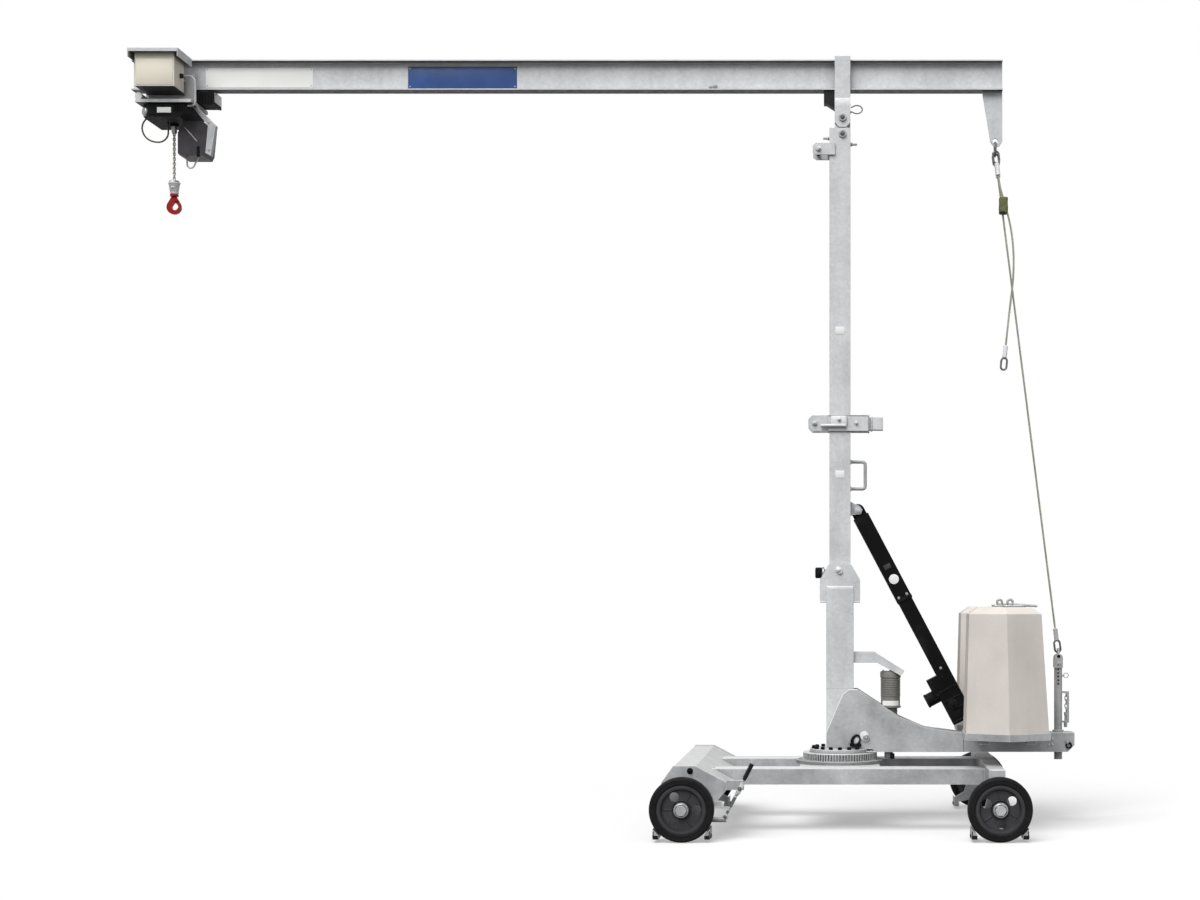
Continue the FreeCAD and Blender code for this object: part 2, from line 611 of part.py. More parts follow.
def link_ring(length, width, bar, normal, steps=8):
    """An oblong ring of bar about the origin, long along Z, flat across normal."""
    ring = faceted_bar(oval(length - bar, width - bar, steps), bar / 2, closed=True)
    if normal == "x":
        ring.rotate(FreeCAD.Vector(), FreeCAD.Vector(0, 0, 1), 90)
    return ring


def bent_path(points, shares):
    """Straight runs joined by tangent arcs that take a share of the shorter run; returns wire and radii."""
    spots = [FreeCAD.Vector(*point) for point in points]
    edges = []
    radii = []
    here = spots[0]
    for before, corner, after in zip(spots, spots[1:], spots[2:]):
        back = (before - corner).normalize()
        ahead = (after - corner).normalize()
        reach = shares * min((before - corner).Length, (after - corner).Length)
        first = corner + back * reach
        last = corner + ahead * reach
        half_turn = back.getAngle(ahead) / 2
        radius = reach * math.tan(half_turn)
        middle = (back + ahead).normalize()
        crown = corner + middle * (radius / math.sin(half_turn) - radius)
        edges.append(Part.LineSegment(here, first).toShape())
        edges.append(Part.Arc(first, crown, last).toShape())
        radii.append(radius)
        here = last
    edges.append(Part.LineSegment(here, spots[-1]).toShape())
    return Part.Wire(edges), radii


def bent_bar(points, diameter, shares=0.45):
    """A round bar swept along a bent path."""
    path, radii = bent_path(points, shares)
    start = FreeCAD.Vector(*points[0])
    section = Part.Wire(Part.Circle(start, FreeCAD.Vector(*points[1]) - start, diameter / 2).toShape())
    return path.makePipeShell([section], True, False)


# Chassis

def chassis():
    inner = "rail_spacing / 2 - rail_width / 2"
    outer = "rail_spacing / 2 + rail_width / 2"
    for label, low, high in (("near", f"-({outer})", f"-({inner})"), ("far", inner, outer)):
        tube = box(("rail_start", "rail_end"), (low, high), ("rail_bottom", "rail_top"))
        hollow = box(
            ("rail_start - 1", "rail_end + 1"),
            (f"{low} + tube_wall", f"{high} - tube_wall"),
            ("rail_bottom + tube_wall", "rail_top - tube_wall"))
        node(cut(tube, hollow), f"rail_{label}")
    node(box(("-turntable_half", "turntable_half"), (f"-({inner})", inner),
             ("rail_bottom", "rail_top")), "turntable_box")
    front = [
        ("front_x - front_beam_back", "rail_bottom"),
        ("front_x - front_beam_back", "front_beam_top"),
        ("front_x + front_beam_flat", "front_beam_top"),
        ("rail_start", "rail_bottom + front_foot_height"),
        ("rail_start", "rail_bottom"),
    ]
    node(profile("XZ", front, "2 * axle_beam_reach", y="axle_beam_reach"), "front_axle_beam")
    rear_low = "rail_bottom + rear_beam_rise"
    node(box(("rail_end", "rail_end + rear_beam_width"), ("-axle_beam_reach", "axle_beam_reach"),
             (rear_low, f"{rear_low} + rear_beam_height")), "rear_axle_beam")


def wheel_carrier(label, x, side, face):
    """End plate of an axle beam with the stub axle, its nut and the two wheel shoes."""
    plate_start = "axle_beam_reach" if side > 0 else "-axle_beam_reach - carrier_wall"
    plate_end = f"{plate_start} + carrier_wall"
    plate = profile("XZ", face, "carrier_wall", y=plate_end)
    wheel_face = "track / 2 + wheel_width / 2"
    stub_start = "axle_beam_reach"
    if side < 0:
        stub_start = f"-({wheel_face}) - axle_washer - axle_nut_height"
    stub_length = f"{wheel_face} + axle_washer + axle_nut_height - axle_beam_reach"
    stub = rod("y", x, stub_start, "wheel_radius", "axle_radius", stub_length)
    washer_start = f"{wheel_face} + running_gap"
    if side < 0:
        washer_start = f"-({wheel_face}) - running_gap - axle_washer"
    washer = rod("y", x, washer_start, "wheel_radius", "hub_radius", "axle_washer")
    nut = doc.addObject("Part::Prism", "Nut")
    nut.Polygon = 6
    bind(nut, "Circumradius", "axle_nut_flat / cos(30)")
    bind(nut, "Height", "axle_nut_height")
    nut.Placement.Rotation = TURNS["y"]
    nut_start = f"{wheel_face} + running_gap + axle_washer" if side > 0 else (
        f"-({wheel_face}) - running_gap - axle_washer - axle_nut_height")
    place(nut, x, nut_start, "wheel_radius")
    shoe_end = "track / 2 + wheel_width / 3" if side > 0 else "-axle_beam_reach"
    pieces = [plate, stub, washer, nut]
    for way in (-1, 1):
        near = f"{x} + {way} * shoe_near"
        far = f"{x} + {way} * shoe_far"
        shoe = [(near, "shoe_floor"), (near, "shoe_low"), (far, "shoe_high"), (far, "shoe_floor")]
        pieces.append(profile("XZ", shoe, "track / 2 + wheel_width / 3 - axle_beam_reach", y=shoe_end))
        root = f"{x} + {way} * carrier_half / 2"
        tie = [
            (root, "carrier_low"), (root, "carrier_low + shoe_high"), (far, "shoe_high"), (far, "shoe_low"),
        ]
        pieces.append(profile("XZ", tie, "carrier_wall", y=plate_end))
    node(fuse(*pieces), label)


def wheel(label, x, y, start):
    """Rubber tyre on a plastic rim with three lightening holes."""
    half = "wheel_width / 2"
    seat = "rim_radius + seat_gap"
    shoulder = "(wheel_radius - rim_radius)"
    tyre = [
        (f"-{half} * 0.9", seat),
        (f"-{half}", f"rim_radius + {shoulder} * 0.2"),
        (f"-{half}", f"rim_radius + {shoulder} * 0.7"),
        (f"-{half} * 0.8", f"rim_radius + {shoulder} * 0.94"),
        (f"-{half} * 0.45", "wheel_radius"),
        (f"{half} * 0.45", "wheel_radius"),
        (f"{half} * 0.8", f"rim_radius + {shoulder} * 0.94"),
        (half, f"rim_radius + {shoulder} * 0.7"),
        (half, f"rim_radius + {shoulder} * 0.2"),
        (f"{half} * 0.9", seat),
    ]
    node(turned(tyre, x, y, "wheel_radius"), f"tyre_{label}")
    rim_half = "rim_width / 2"
    web = "rim_web / 2"
    slope = "(rim_radius - rim_recess_radius) / 2"
    rim = []
    for way in (-1, 1):
        side = [
            (f"{way} * {half}", "axle_radius + shaft_gap"),
            (f"{way} * {half}", "hub_radius - hub_lip"),
            (f"{way} * ({half} - hub_lip)", "hub_radius"),
            (f"{way} * {web}", "hub_radius + hub_lip"),
            (f"{way} * {web}", f"rim_recess_radius - {slope}"),
            (f"{way} * {rim_half}", "rim_recess_radius"),
            (f"{way} * {rim_half}", "rim_radius"),
        ]
        rim += side if way < 0 else side[::-1]
    holes = []
    for turn in range(3):
        lift = f"rim_hole_circle * cos({start + 120 * turn})"
        rise = f"rim_hole_circle * sin({start + 120 * turn})"
        holes.append(rod("y", f"{x} + {lift}", f"{y} - rim_web", f"wheel_radius + {rise}",
                         "rim_hole_radius", "2 * rim_web"))
    node(cut(turned(rim, x, y, "wheel_radius"), *holes), f"rim_{label}")


def wheels():
    for end, x in (("front", "front_x"), ("rear", "rear_x")):
        foot = [(f"{x} + carrier_half", "carrier_low"), (f"{x} - carrier_half", "carrier_low")]
        if end == "front":
            top = "front_beam_top + end_plate_lip"
            face = foot + [
                (f"{x} - end_plate_flare", "end_plate_flare_height"),
                (f"{x} - front_beam_back", top),
                (f"{x} + front_beam_flat", top),
                (f"{x} + end_plate_reach", "end_plate_reach_height"),
                (f"{x} + end_plate_waist", "end_plate_waist_height"),
            ]
        else:
            top = "rail_bottom + rear_beam_rise + rear_beam_height"
            face = foot + [
                ("rail_end", "rail_bottom"), ("rail_end", top),
                ("rail_end + rear_beam_width", top), ("rail_end + rear_beam_width", "rail_bottom"),
            ]
        for label, side in (("near", -1), ("far", 1)):
            wheel(f"{end}_{label}", x, f"{side} * track / 2", 0 if end == "front" else 36)
            wheel_carrier(f"wheel_carrier_{end}_{label}", x, side, face)



def brake():
    """Parking brake beside the near front wheel: lever with its grip, bar to the wheel and a flat stop."""
    face = "axle_beam_reach + carrier_wall"
    y = number(f"-({face}) - lever_diameter / 2 - running_gap")
    foot = FreeCAD.Vector(number("axis_x - lever_foot_x"), y, number("lever_foot_height"))
    start = FreeCAD.Vector(number("axis_x - lever_grip_x"), y, number("lever_grip_height"))
    way = (start - foot).normalize()
    lever = made(Part.makeCylinder(number("lever_diameter / 2"), (start - foot).Length, foot, way))
    ledge = (f"-({face}) - lever_diameter", f"-({face})")
    bracket = box(("front_x + end_plate_reach - brake_bracket", "-lever_grip_x"), ledge,
                  ("end_plate_reach_height - brake_bracket", "end_plate_reach_height + brake_bracket"))
    bar = rod("x", "-brake_bar_start", f"-({face}) - lever_diameter / 2 - running_gap",
              "lever_foot_height - brake_bar_radius", "brake_bar_radius",
              "brake_bar_start - lever_foot_x + brake_bar_radius / 2")
    stop = box(("-brake_stop_end - 2 * brake_stop_depth", "-brake_stop_end"), ledge,
               ("brake_stop_height - brake_stop_depth / 2", "brake_stop_height + brake_stop_depth / 2"))
    node(together(fuse(lever, bracket, bar), stop), "brake_lever")
    grip = Part.makeCylinder(number("grip_diameter / 2"), number("grip_length"), start, way)
    node(made(grip), "brake_grip")


# Slewing ring

def slewing_ring():
    base = rod("z", "0", "0", "rail_top", "disc_radius", "disc_height")
    teeth = int(number("gear_teeth"))
    tip = number("gear_tip_radius")
    root = tip - number("gear_tooth_depth")
    points = []
    for tooth in range(teeth):
        for share, radius in ((0.0, root), (0.25, root), (0.42, tip), (0.83, tip)):
            angle = 2 * math.pi * (tooth + share) / teeth
            points.append(FreeCAD.Vector(radius * math.cos(angle), radius * math.sin(angle), 0))
    rim = Part.Face(Part.makePolygon(points + points[:1])).extrude(
        FreeCAD.Vector(0, 0, number("gear_height")))
    gear = made(rim)
    place(gear, z="disc_top")
    bore = rod("z", "0", "0", "disc_top", "gear_bore", "gear_height + 1")
    node(fuse(base, cut(gear, bore)), "ring_gear")
    flange = rod("z", "0", "0", "flange_bottom", "flange_radius", "flange_height")
    spigot = rod("z", "0", "0", "flange_bottom - spigot_height", "gear_bore - shaft_gap", "spigot_height")
    node(fuse(flange, spigot), "slew_flange")


# Post and mast

def square_tube(half, low, high):
    """Upright square tube about the slewing axis."""
    tube = box((f"-({half})", half), (f"-({half})", half), (low, high))
    hollow = box((f"-({half}) + tube_wall", f"{half} - tube_wall"),
                 (f"-({half}) + tube_wall", f"{half} - tube_wall"),
                 (f"{low} + tube_wall", f"{high} - tube_wall"))
    return cut(tube, hollow)


def lower_post():
    post = square_tube("post_width / 2", "flange_top", "post_top")
    face = [
        ("-clevis_half", "clevis_bottom"),
        ("-clevis_half", "clevis_shoulder"),
        ("-clevis_top_half", "clevis_top"),
        ("clevis_top_half", "clevis_top"),
        ("clevis_half", "clevis_shoulder"),
        ("clevis_half", "clevis_bottom"),
    ]
    near = profile("XZ", face, "sheet_wall", y="-post_width / 2")
    far = profile("XZ", face, "sheet_wall", y="post_width / 2 + sheet_wall")
    reach = "(post_width / 2 + sheet_wall + clevis_pin_head)"
    pin = rod("y", "0", f"-{reach}", "clevis_pin_height", "clevis_pin_radius", f"2 * {reach}")
    node(fuse(post, near, far, pin), "lower_post")


def mast():
    tube = square_tube("mast_width / 2", "post_top", "mast_top")
    cheek = [("-mast_width / 2", "post_top"), ("mast_width / 2", "post_top"),
             ("mast_width / 2", "clevis_top"), ("-mast_width / 2", "clevis_top")]
    near = profile("XZ", cheek, "(post_width - mast_width) / 2", y="-mast_width / 2")
    far = profile("XZ", cheek, "(post_width - mast_width) / 2", y="post_width / 2")
    half = "head_width / 2"
    head = box(("strap_offset - strap_width / 2", f"strap_offset + {half} - 20"), (f"-{half}", half),
               ("mast_top", "jib_bottom"))
    whole = fuse(tube, near, far, head)
    pin_hole = rod("y", "0", "-post_width", "clevis_pin_height", "clevis_pin_radius + seat_gap",
                   "2 * post_width")
    lock_holes = [
        rod("y", "strap_offset", "-post_width", height, "jib_pin_radius + seat_gap", "2 * post_width")
        for height in ("pivot_pin_height", "lock_pin_height")]
    node(cut(whole, pin_hole, *lock_holes), "mast")


def lock_knob():
    stem = rod("x", "-mast_width / 2 - knob_stem", "0", "knob_height", "knob_radius / 2", "knob_stem")
    washer = rod("x", "-mast_width / 2 - knob_stem - 8", "0", "knob_height", "knob_radius * 1.2", "8")
    knob = rod("x", "-mast_width / 2 - knob_stem - 8 - knob_length", "0", "knob_height", "knob_radius",
               "knob_length")
    node(fuse(stem, washer, knob), "lock_knob")


def storage_brackets():
    low = "ear_top_height - ear_top_depth / 2"
    high = "ear_top_height + ear_top_depth / 2"
    half = "mast_width / 2"
    ear = [
        ("-ear_top_reach", f"{low} + ear_top_depth / 4"),
        ("-ear_top_reach", f"{high} - ear_top_depth / 4"),
        ("-ear_top_reach + ear_top_depth / 4", high),
        (f"-{half} + ear_top_overlap", high),
        (f"-{half} + ear_top_overlap", low),
        ("-ear_top_reach + ear_top_depth / 4", low),
    ]
    near = profile("XZ", ear, "ear_wall", y=f"-{half}")
    far = profile("XZ", ear, "ear_wall", y=f"{half} + ear_wall")
    back = box((f"-{half} - sheet_wall", f"-{half}"), (f"-{half} - ear_wall", f"{half} + ear_wall"),
               (low, high))
    reach = f"({half} + ear_wall + jib_pin_head)"
    pin = rod("y", "-ear_top_reach + ear_top_pin_inset", f"-{reach}", "ear_top_height", "jib_pin_radius",
              f"2 * {reach}")
    node(fuse(near, far, back, pin), "mast_top_bracket")

    low = "clamp_height - clamp_depth / 2"
    high = "clamp_height + clamp_depth / 2"
    half = "mast_width / 2"
    band = box(("-mast_width / 2 - sheet_wall", "clamp_sleeve_end"),
               (f"-{half} - sheet_wall", f"{half} + sheet_wall"), (low, high))
    room = box((f"-{half}", half), (f"-{half}", half), (f"{low} - cut_over", f"{high} + cut_over"))
    ear = [
        ("-clamp_front", f"{low} + clamp_bevel"),
        ("-clamp_front", f"{high} - clamp_bevel"),
        ("-clamp_front + clamp_bevel", high),
        ("-mast_width / 2 - sheet_wall", high),
        ("-mast_width / 2 - sheet_wall", low),
        ("-clamp_front + clamp_bevel", low),
    ]
    near = profile("XZ", ear, "ear_wall", y=f"-{half} + ear_wall")
    far = profile("XZ", ear, "ear_wall", y=half)
    tube_half = "clamp_tube_depth / 2"
    tube = box(("clamp_sleeve_end - weld_root", "clamp_tube_end"), (f"-{tube_half}", tube_half),
               (f"clamp_height - {tube_half}", f"clamp_height + {tube_half}"))
    reach = f"({half} + jib_pin_head)"
    pin = rod("y", "-clamp_front + clamp_pin_inset", f"-{reach}", "clamp_height", "jib_pin_radius",
              f"2 * {reach}")
    node(fuse(cut(band, room), near, far, tube, pin), "mast_mid_clamp")


def handle():
    root = number("axis_x + mast_width / 2")
    reach = number("handle_reach")
    low = number("handle_bottom")
    high = number("handle_top")
    bar = number("handle_diameter")
    grip = bent_bar([(root, 0, low + bar), (root + reach, 0, low + bar),
                     (root + reach, 0, high - bar), (root, 0, high - bar)], bar, 0.2)
    node(made(grip), "mast_handle")


# Jib

def jib():
    half = "jib_width / 2"
    web = "jib_web / 2"
    section = [
        (f"-{half}", "jib_bottom"), (half, "jib_bottom"), (half, "jib_bottom + jib_flange"),
        (web, "jib_bottom + jib_flange"), (web, "jib_top - jib_flange"), (half, "jib_top - jib_flange"),
        (half, "jib_top"), (f"-{half}", "jib_top"), (f"-{half}", "jib_top - jib_flange"),
        (f"-{web}", "jib_top - jib_flange"), (f"-{web}", "jib_bottom + jib_flange"),
        (f"-{half}", "jib_bottom + jib_flange"),
    ]
    node(profile("YZ", section, "jib_reach + jib_tail", x="-jib_reach"), "jib_beam")

    left = "strap_offset - strap_width / 2"
    right = "strap_offset + strap_width / 2"
    side = [
        (left, "strap_bottom + strap_round"), (left, "jib_top + strap_cap"), (right, "jib_top + strap_cap"),
        (right, "strap_bottom + strap_round"), ("strap_offset + strap_flat", "strap_bottom"),
        ("strap_offset - strap_flat", "strap_bottom"),
    ]
    near = profile("XZ", side, "sheet_wall", y="-strap_inner")
    far = profile("XZ", side, "sheet_wall", y="strap_outer")
    cap = box((left, right), ("-strap_outer", "strap_outer"), ("jib_top", "jib_top + strap_cap"))
    reach = "(strap_outer + jib_pin_head)"
    pivot = rod("y", "strap_offset", f"-{reach}", "pivot_pin_height", "jib_pin_radius", f"2 * {reach}")
    node(fuse(near, far, cap, pivot), "jib_strap")
    reach = "(mast_width / 2 + jib_pin_head)"
    lock = rod("y", "strap_offset", f"-{reach}", "lock_pin_height", "jib_pin_radius", f"2 * {reach}")
    node(lock, "jib_lock_pin")

    block = [
        (f"{left} - buffer_length", "jib_bottom"),
        (left, "jib_bottom"),
        (left, "jib_bottom - buffer_height"),
        (f"{left} - buffer_length * 3 / 4", "jib_bottom - buffer_low"),
        (f"{left} - buffer_length", "jib_bottom - buffer_low"),
    ]
    node(profile("XZ", block, "buffer_width", y="buffer_width / 2"), "jib_buffer")

    foot = "jib_bottom - tail_plate_drop"
    plate = [
        ("jib_tail - tail_plate_length", "jib_bottom"), ("jib_tail", "jib_bottom"),
        ("jib_tail", f"{foot} + tail_round"), ("jib_tail - tail_bevel", foot),
        ("jib_tail - tail_plate_foot + tail_bevel", foot),
        ("jib_tail - tail_plate_foot", f"{foot} + tail_round"),
    ]
    solid = profile("XZ", plate, "tail_plate_wall", y="tail_plate_wall / 2")
    hole = rod("y", "stay_top_x", "-tail_plate_wall", "tail_hole_height", "tail_plate_hole",
               "2 * tail_plate_wall")
    node(cut(solid, hole), "jib_tail_plate")


# Ropes

def rope_end():
    """Rope eye and its ferrule; the bar of the eye crosses the origin and the rope leaves along -Z."""
    eye = number("eye_length")
    bar = number("stay_diameter")
    loop = link_ring(eye, number("eye_width"), bar, "y")
    loop.translate(FreeCAD.Vector(0, 0, (bar - eye) / 2))
    length = number("ferrule_length")
    foot = FreeCAD.Vector(0, 0, bar - eye - length)
    sleeve = Part.makeCylinder(number("ferrule_diameter / 2"), length, foot)
    return loop.fuse([sleeve])


def stay():
    """Taut wire rope from the ring in the stay plate to the tension tube."""
    bar = number("stay_diameter")
    reach = number("2 * shackle_radius + stay_diameter")
    shackle = made(link_ring(reach, reach, bar, "x"))
    place(shackle, "stay_top_x", "0", "ring_height")
    length = number("stay_length")
    upper = rope_end()
    lower = rope_end()
    lower.rotate(FreeCAD.Vector(), FreeCAD.Vector(0, 1, 0), 180)
    lower.translate(FreeCAD.Vector(0, 0, -length))
    eyes = made(Part.makeCompound([upper, lower]))
    place(eyes, "stay_top_x", "0", "stay_top_height")
    tilt(eyes, "stay_angle")
    node(together(shackle, eyes), "stay_fittings")
    start = number("eye_length + ferrule_length - stay_diameter")
    rope = made(Part.makeCylinder(bar / 2, length - 2 * start, FreeCAD.Vector(0, 0, start - length)))
    place(rope, "stay_top_x", "0", "stay_top_height")
    tilt(rope, "stay_angle")
    node(rope, "stay_rope")


# Route of the loose rope below its ferrule: steps along X, Y and Z from the ring that carries it.
SPARE_ROUTE = [
    (18, -30, -176.6), (26, -30, -240), (46, -30, -315), (75, -30, -410), (106, -30, -540),
    (122, -30, -700), (119, -30, -866), (99, -30, -1030), (80, -30, -1196), (68, -30, -1312),
]


def spare_rope():
    """Second rope that hangs loose from the same ring, with an eye at its lower end."""
    ring = FreeCAD.Vector(number("axis_x + stay_top_x"), 0, number("ring_height"))
    spots = [ring + FreeCAD.Vector(*step) for step in SPARE_ROUTE]
    diameter = number("stay_diameter")
    path, radii = bent_path(spots, 0.45)
    rope = bent_bar(spots, diameter)
    print("loose rope bend radii:", [round(radius) for radius in radii])
    expected = math.pi * diameter ** 2 / 4 * path.Length
    if abs(rope.Volume / expected - 1) > 0.02:
        raise RuntimeError("the loose rope crosses itself")
    node(made(rope), "spare_rope")
    down = FreeCAD.Vector(0, 0, -1)
    side = number("spare_offset")
    hang = math.sqrt(number("eye_seat") ** 2 - side ** 2)
    seat = ring + FreeCAD.Vector(0, -side, -hang)
    reach = number("eye_length + ferrule_length - stay_diameter + 2 * running_gap")
    rise = (seat - spots[0]).normalize()
    tail = (spots[-1] - spots[-2]).normalize()
    upper = rope_end()
    upper.Placement = FreeCAD.Placement(spots[0] + rise * reach, FreeCAD.Rotation(down, rise * -1))
    lower = rope_end()
    lower.Placement = FreeCAD.Placement(spots[-1] + tail * reach, FreeCAD.Rotation(down, tail * -1))
    node(made(Part.makeCompound([upper, lower])), "spare_rope_ends")


# Counterweight arm

def arm():
    face = [
        ("-cheek_front", "flange_top"),
        ("-cheek_front", "arm_top"),
        ("cheek_peak_x - cheek_shoulder", "cheek_top - cheek_shoulder_drop"),
        ("cheek_peak_x", "cheek_top"),
        ("cheek_peak_x + cheek_ridge", "cheek_top"),
        ("cheek_mid_x", "cheek_mid_height"),
        ("(cheek_mid_x + cheek_end) / 2 - cheek_shoulder", "arm_top + cheek_sag"),
        ("cheek_end", "arm_top"),
        ("cheek_end", "arm_bottom"),
        ("arm_start", "arm_bottom"),
        ("arm_start - cheek_toe", "flange_top"),
    ]
    near = profile("XZ", face, "sheet_wall", y="-cheek_inner")
    far = profile("XZ", face, "sheet_wall", y="cheek_outer")
    beam = [
        ("arm_start", "arm_bottom"), ("arm_start", "arm_top"), ("tail_reach", "arm_top"),
        ("tail_reach", "arm_bottom + tail_chamfer"), ("tail_reach - tail_chamfer", "arm_bottom"),
    ]
    deep = profile("XZ", beam, "2 * cheek_inner", y="cheek_inner")
    deck = [
        ("cheek_inner", "arm_top"), ("cheek_peak_x + cheek_ridge", "cheek_top - deck_drop"),
        ("cheek_mid_x", "cheek_mid_height - deck_drop"), ("cheek_mid_x", "arm_top"),
    ]
    filler = profile("XZ", deck, "2 * cheek_inner", y="cheek_inner")
    reach = "(cheek_outer + boss_reach)"
    boss = rod("y", "boss_x", f"-{reach}", "(arm_bottom + arm_top) / 2 + boss_rise", "boss_radius",
               f"2 * {reach}")
    bore = rod("z", "stay_foot_x", "0", "arm_bottom - cut_over", "tension_tube_radius + seat_gap",
               "arm_height + 2 * cut_over")
    well = rod("z", "motor_x", "0", "arm_top", "motor_radius + seat_gap", "cheek_top - arm_top")
    node(cut(fuse(near, far, deep, filler, boss), bore, well), "counterweight_arm")


def tension_tube():
    tube = rod("z", "stay_foot_x", "0", "tension_tube_bottom", "tension_tube_radius",
               "tension_tube_top - tension_tube_bottom")
    collar = rod("z", "stay_foot_x", "0", "arm_top", "tension_collar", "tension_collar_height")
    lug = box(("stay_foot_x - tail_plate_wall / 2", "stay_foot_x + tail_plate_wall / 2"),
              ("-tension_tube_radius", "tension_tube_radius"),
              ("tension_tube_top", "stay_foot_height + tension_lug"))
    eye = rod("x", "stay_foot_x - tail_plate_wall", "0", "stay_hole_height", "tail_plate_hole",
              "2 * tail_plate_wall")
    bar = "toggle_bar"
    inner = "stay_foot_x + tension_tube_radius - cut_over"
    outer = "stay_foot_x + tension_tube_radius + toggle_reach"
    low = "toggle_height"
    high = "toggle_height + toggle_length"
    lever = [
        box((inner, outer), (f"-{bar} / 2", f"{bar} / 2"), (low, f"{low} + {bar}")),
        box((inner, outer), (f"-{bar} / 2", f"{bar} / 2"), (f"{high} - {bar}", high)),
        box((f"{outer} - {bar}", outer), (f"-{bar} / 2", f"{bar} / 2"), (low, high)),
    ]
    node(fuse(cut(fuse(tube, collar, lug), eye), *lever), "tension_tube")


def counterweights():
    trays = []
    rings = []
    for label, side in (("near", -1), ("far", 1)):
        y = f"{side} * weight_spacing / 2"
        sections = []
        top = "weight_bottom + weight_height"
        stack = (("weight_bottom_side", "weight_x", "weight_bottom"),
                 ("weight_top_side", "weight_x - weight_lean", top),
                 ("weight_cap_side", "weight_x - weight_lean", f"{top} + weight_bevel"))
        for reach, x, height in stack:
            ring = doc.addObject("Part::RegularPolygon", "Hexagon")
            ring.Polygon = 6
            bind(ring, "Circumradius", reach)
            ring.Placement.Rotation = FreeCAD.Rotation(FreeCAD.Vector(0, 0, 1), 90)
            place(ring, x, y, height)
            sections.append(ring)
        block = doc.addObject("Part::Loft", "Block")
        block.Sections = sections
        block.Solid = True
        block.Ruled = True
        node(block, f"counterweight_{label}")

        room = "weight_bottom_side + tray_play"
        shell = prism(6, f"{room} + tray_wall", "tray_rim", "weight_x", y, "tray_bottom", 90)
        hollow = prism(6, room, "tray_rim", "weight_x", y, "weight_bottom", 90)
        bars = []
        for way in (-1, 1):
            middle = f"weight_x + {way} * tray_bar_spacing / 2"
            low, high = "cheek_inner", "weight_spacing / 2 + weight_bottom_side * 0.6"
            if side < 0:
                low, high = f"-({high})", f"-{low}"
            bars.append(box((f"{middle} - tray_bar / 2", f"{middle} + tray_bar / 2"), (low, high),
                            ("tray_bottom - tray_bar_depth", "tray_bottom")))
        trays.append(fuse(cut(shell, hollow), *bars))

        bar = number("lift_bar")
        length = number("lift_ring_length")
        ring = link_ring(length, number("lift_ring_width"), bar, "x")
        ring.rotate(FreeCAD.Vector(), FreeCAD.Vector(0, 1, 0), 90)
        ring.translate(FreeCAD.Vector(length / 2 - bar, 0, bar / 2))
        hoop = made(ring)
        place(hoop, "weight_x - weight_lean", y, f"{top} + weight_bevel")
        rings.append(hoop)
    node(together(*trays), "weight_trays")
    node(together(*rings), "lifting_rings")


# Actuator strut

def actuator():
    """Black strut between the mast and the arm, drawn along -Z from its upper pin."""
    half = "sleeve_width / 2"
    sleeve = [
        box((f"-{half}", half), (f"-{half}", half), ("-sleeve_length", "-sleeve_start"), True),
        box(("-lug_depth", "lug_depth"), ("-lug_half", "lug_half"), ("-sleeve_start - weld_root", "lug_reach"),
            True),
    ]
    hole = rod("y", "0", f"-{half}", "0", "actuator_pin_radius + seat_gap", "sleeve_width", True)
    sheath = cut(fuse(*sleeve), hole)
    place(sheath, "actuator_top_x", "0", "actuator_top_height")
    tilt(sheath, "actuator_angle")
    node(sheath, "actuator_sleeve")
    half = "ram_width / 2"
    low = "actuator_length"
    end = "gear_start + gear_length"
    ram = [
        box((f"-{half}", half), (f"-{half}", half), (f"-({end})", "-sleeve_length"), True),
        box(("-gear_reach", half), ("-gear_half", "gear_half"),
            (f"-({end})", "-gear_start - gear_step_length"), True),
        box(("-gear_step_reach", "0"), ("-gear_half", "gear_half"),
            ("-gear_start - gear_step_length - gear_half", "-gear_start"), True),
        rod("x", "-gear_motor_reach", "0", "-gear_start - gear_motor_step - gear_motor_radius",
            "gear_motor_radius", "gear_motor_reach", True),
        box(("-lug_depth", "lug_depth"), ("-lug_half", "lug_half"),
            (f"-{low} - lug_reach", f"-({end}) + weld_root"), True),
    ]
    hole = rod("y", "0", f"-{half}", f"-{low}", "actuator_pin_radius + seat_gap", "ram_width", True)
    strut = cut(fuse(*ram), hole)
    place(strut, "actuator_top_x", "0", "actuator_top_height")
    tilt(strut, "actuator_angle")
    node(strut, "actuator_tube")

    inner = "lug_half + seat_gap"
    reach = f"({inner} + ear_wall)"
    pieces = []
    for end in ("top", "foot"):
        x = f"actuator_{end}_x"
        height = f"actuator_{end}_height"
        if end == "top":
            face = [
                ("mast_width / 2", f"{height} - bracket_foot"),
                ("mast_width / 2", f"{height} + bracket_head"),
                (f"{x} + bracket_round / 3", f"{height} + bracket_round"),
                (f"{x} + bracket_round", f"{height} + bracket_round / 6"),
                (f"{x} + bracket_top", f"{height} - lug_reach"),
            ]
        else:
            face = [
                (f"{x} - bracket_base", "arm_top"), (f"{x} - lug_reach", f"{height} + bracket_top"),
                (f"{x} + lug_reach", f"{height} + bracket_top"), (f"{x} + bracket_base", "arm_top"),
            ]
        near = profile("XZ", face, "ear_wall", y=f"-({inner})")
        far = profile("XZ", face, "ear_wall", y=reach)
        pin = rod("y", x, f"-{reach} - pin_head", height, "actuator_pin_radius", f"2 * ({reach} + pin_head)")
        pieces.append(fuse(near, far, pin))
    node(together(*pieces), "actuator_brackets")


# Slewing drive

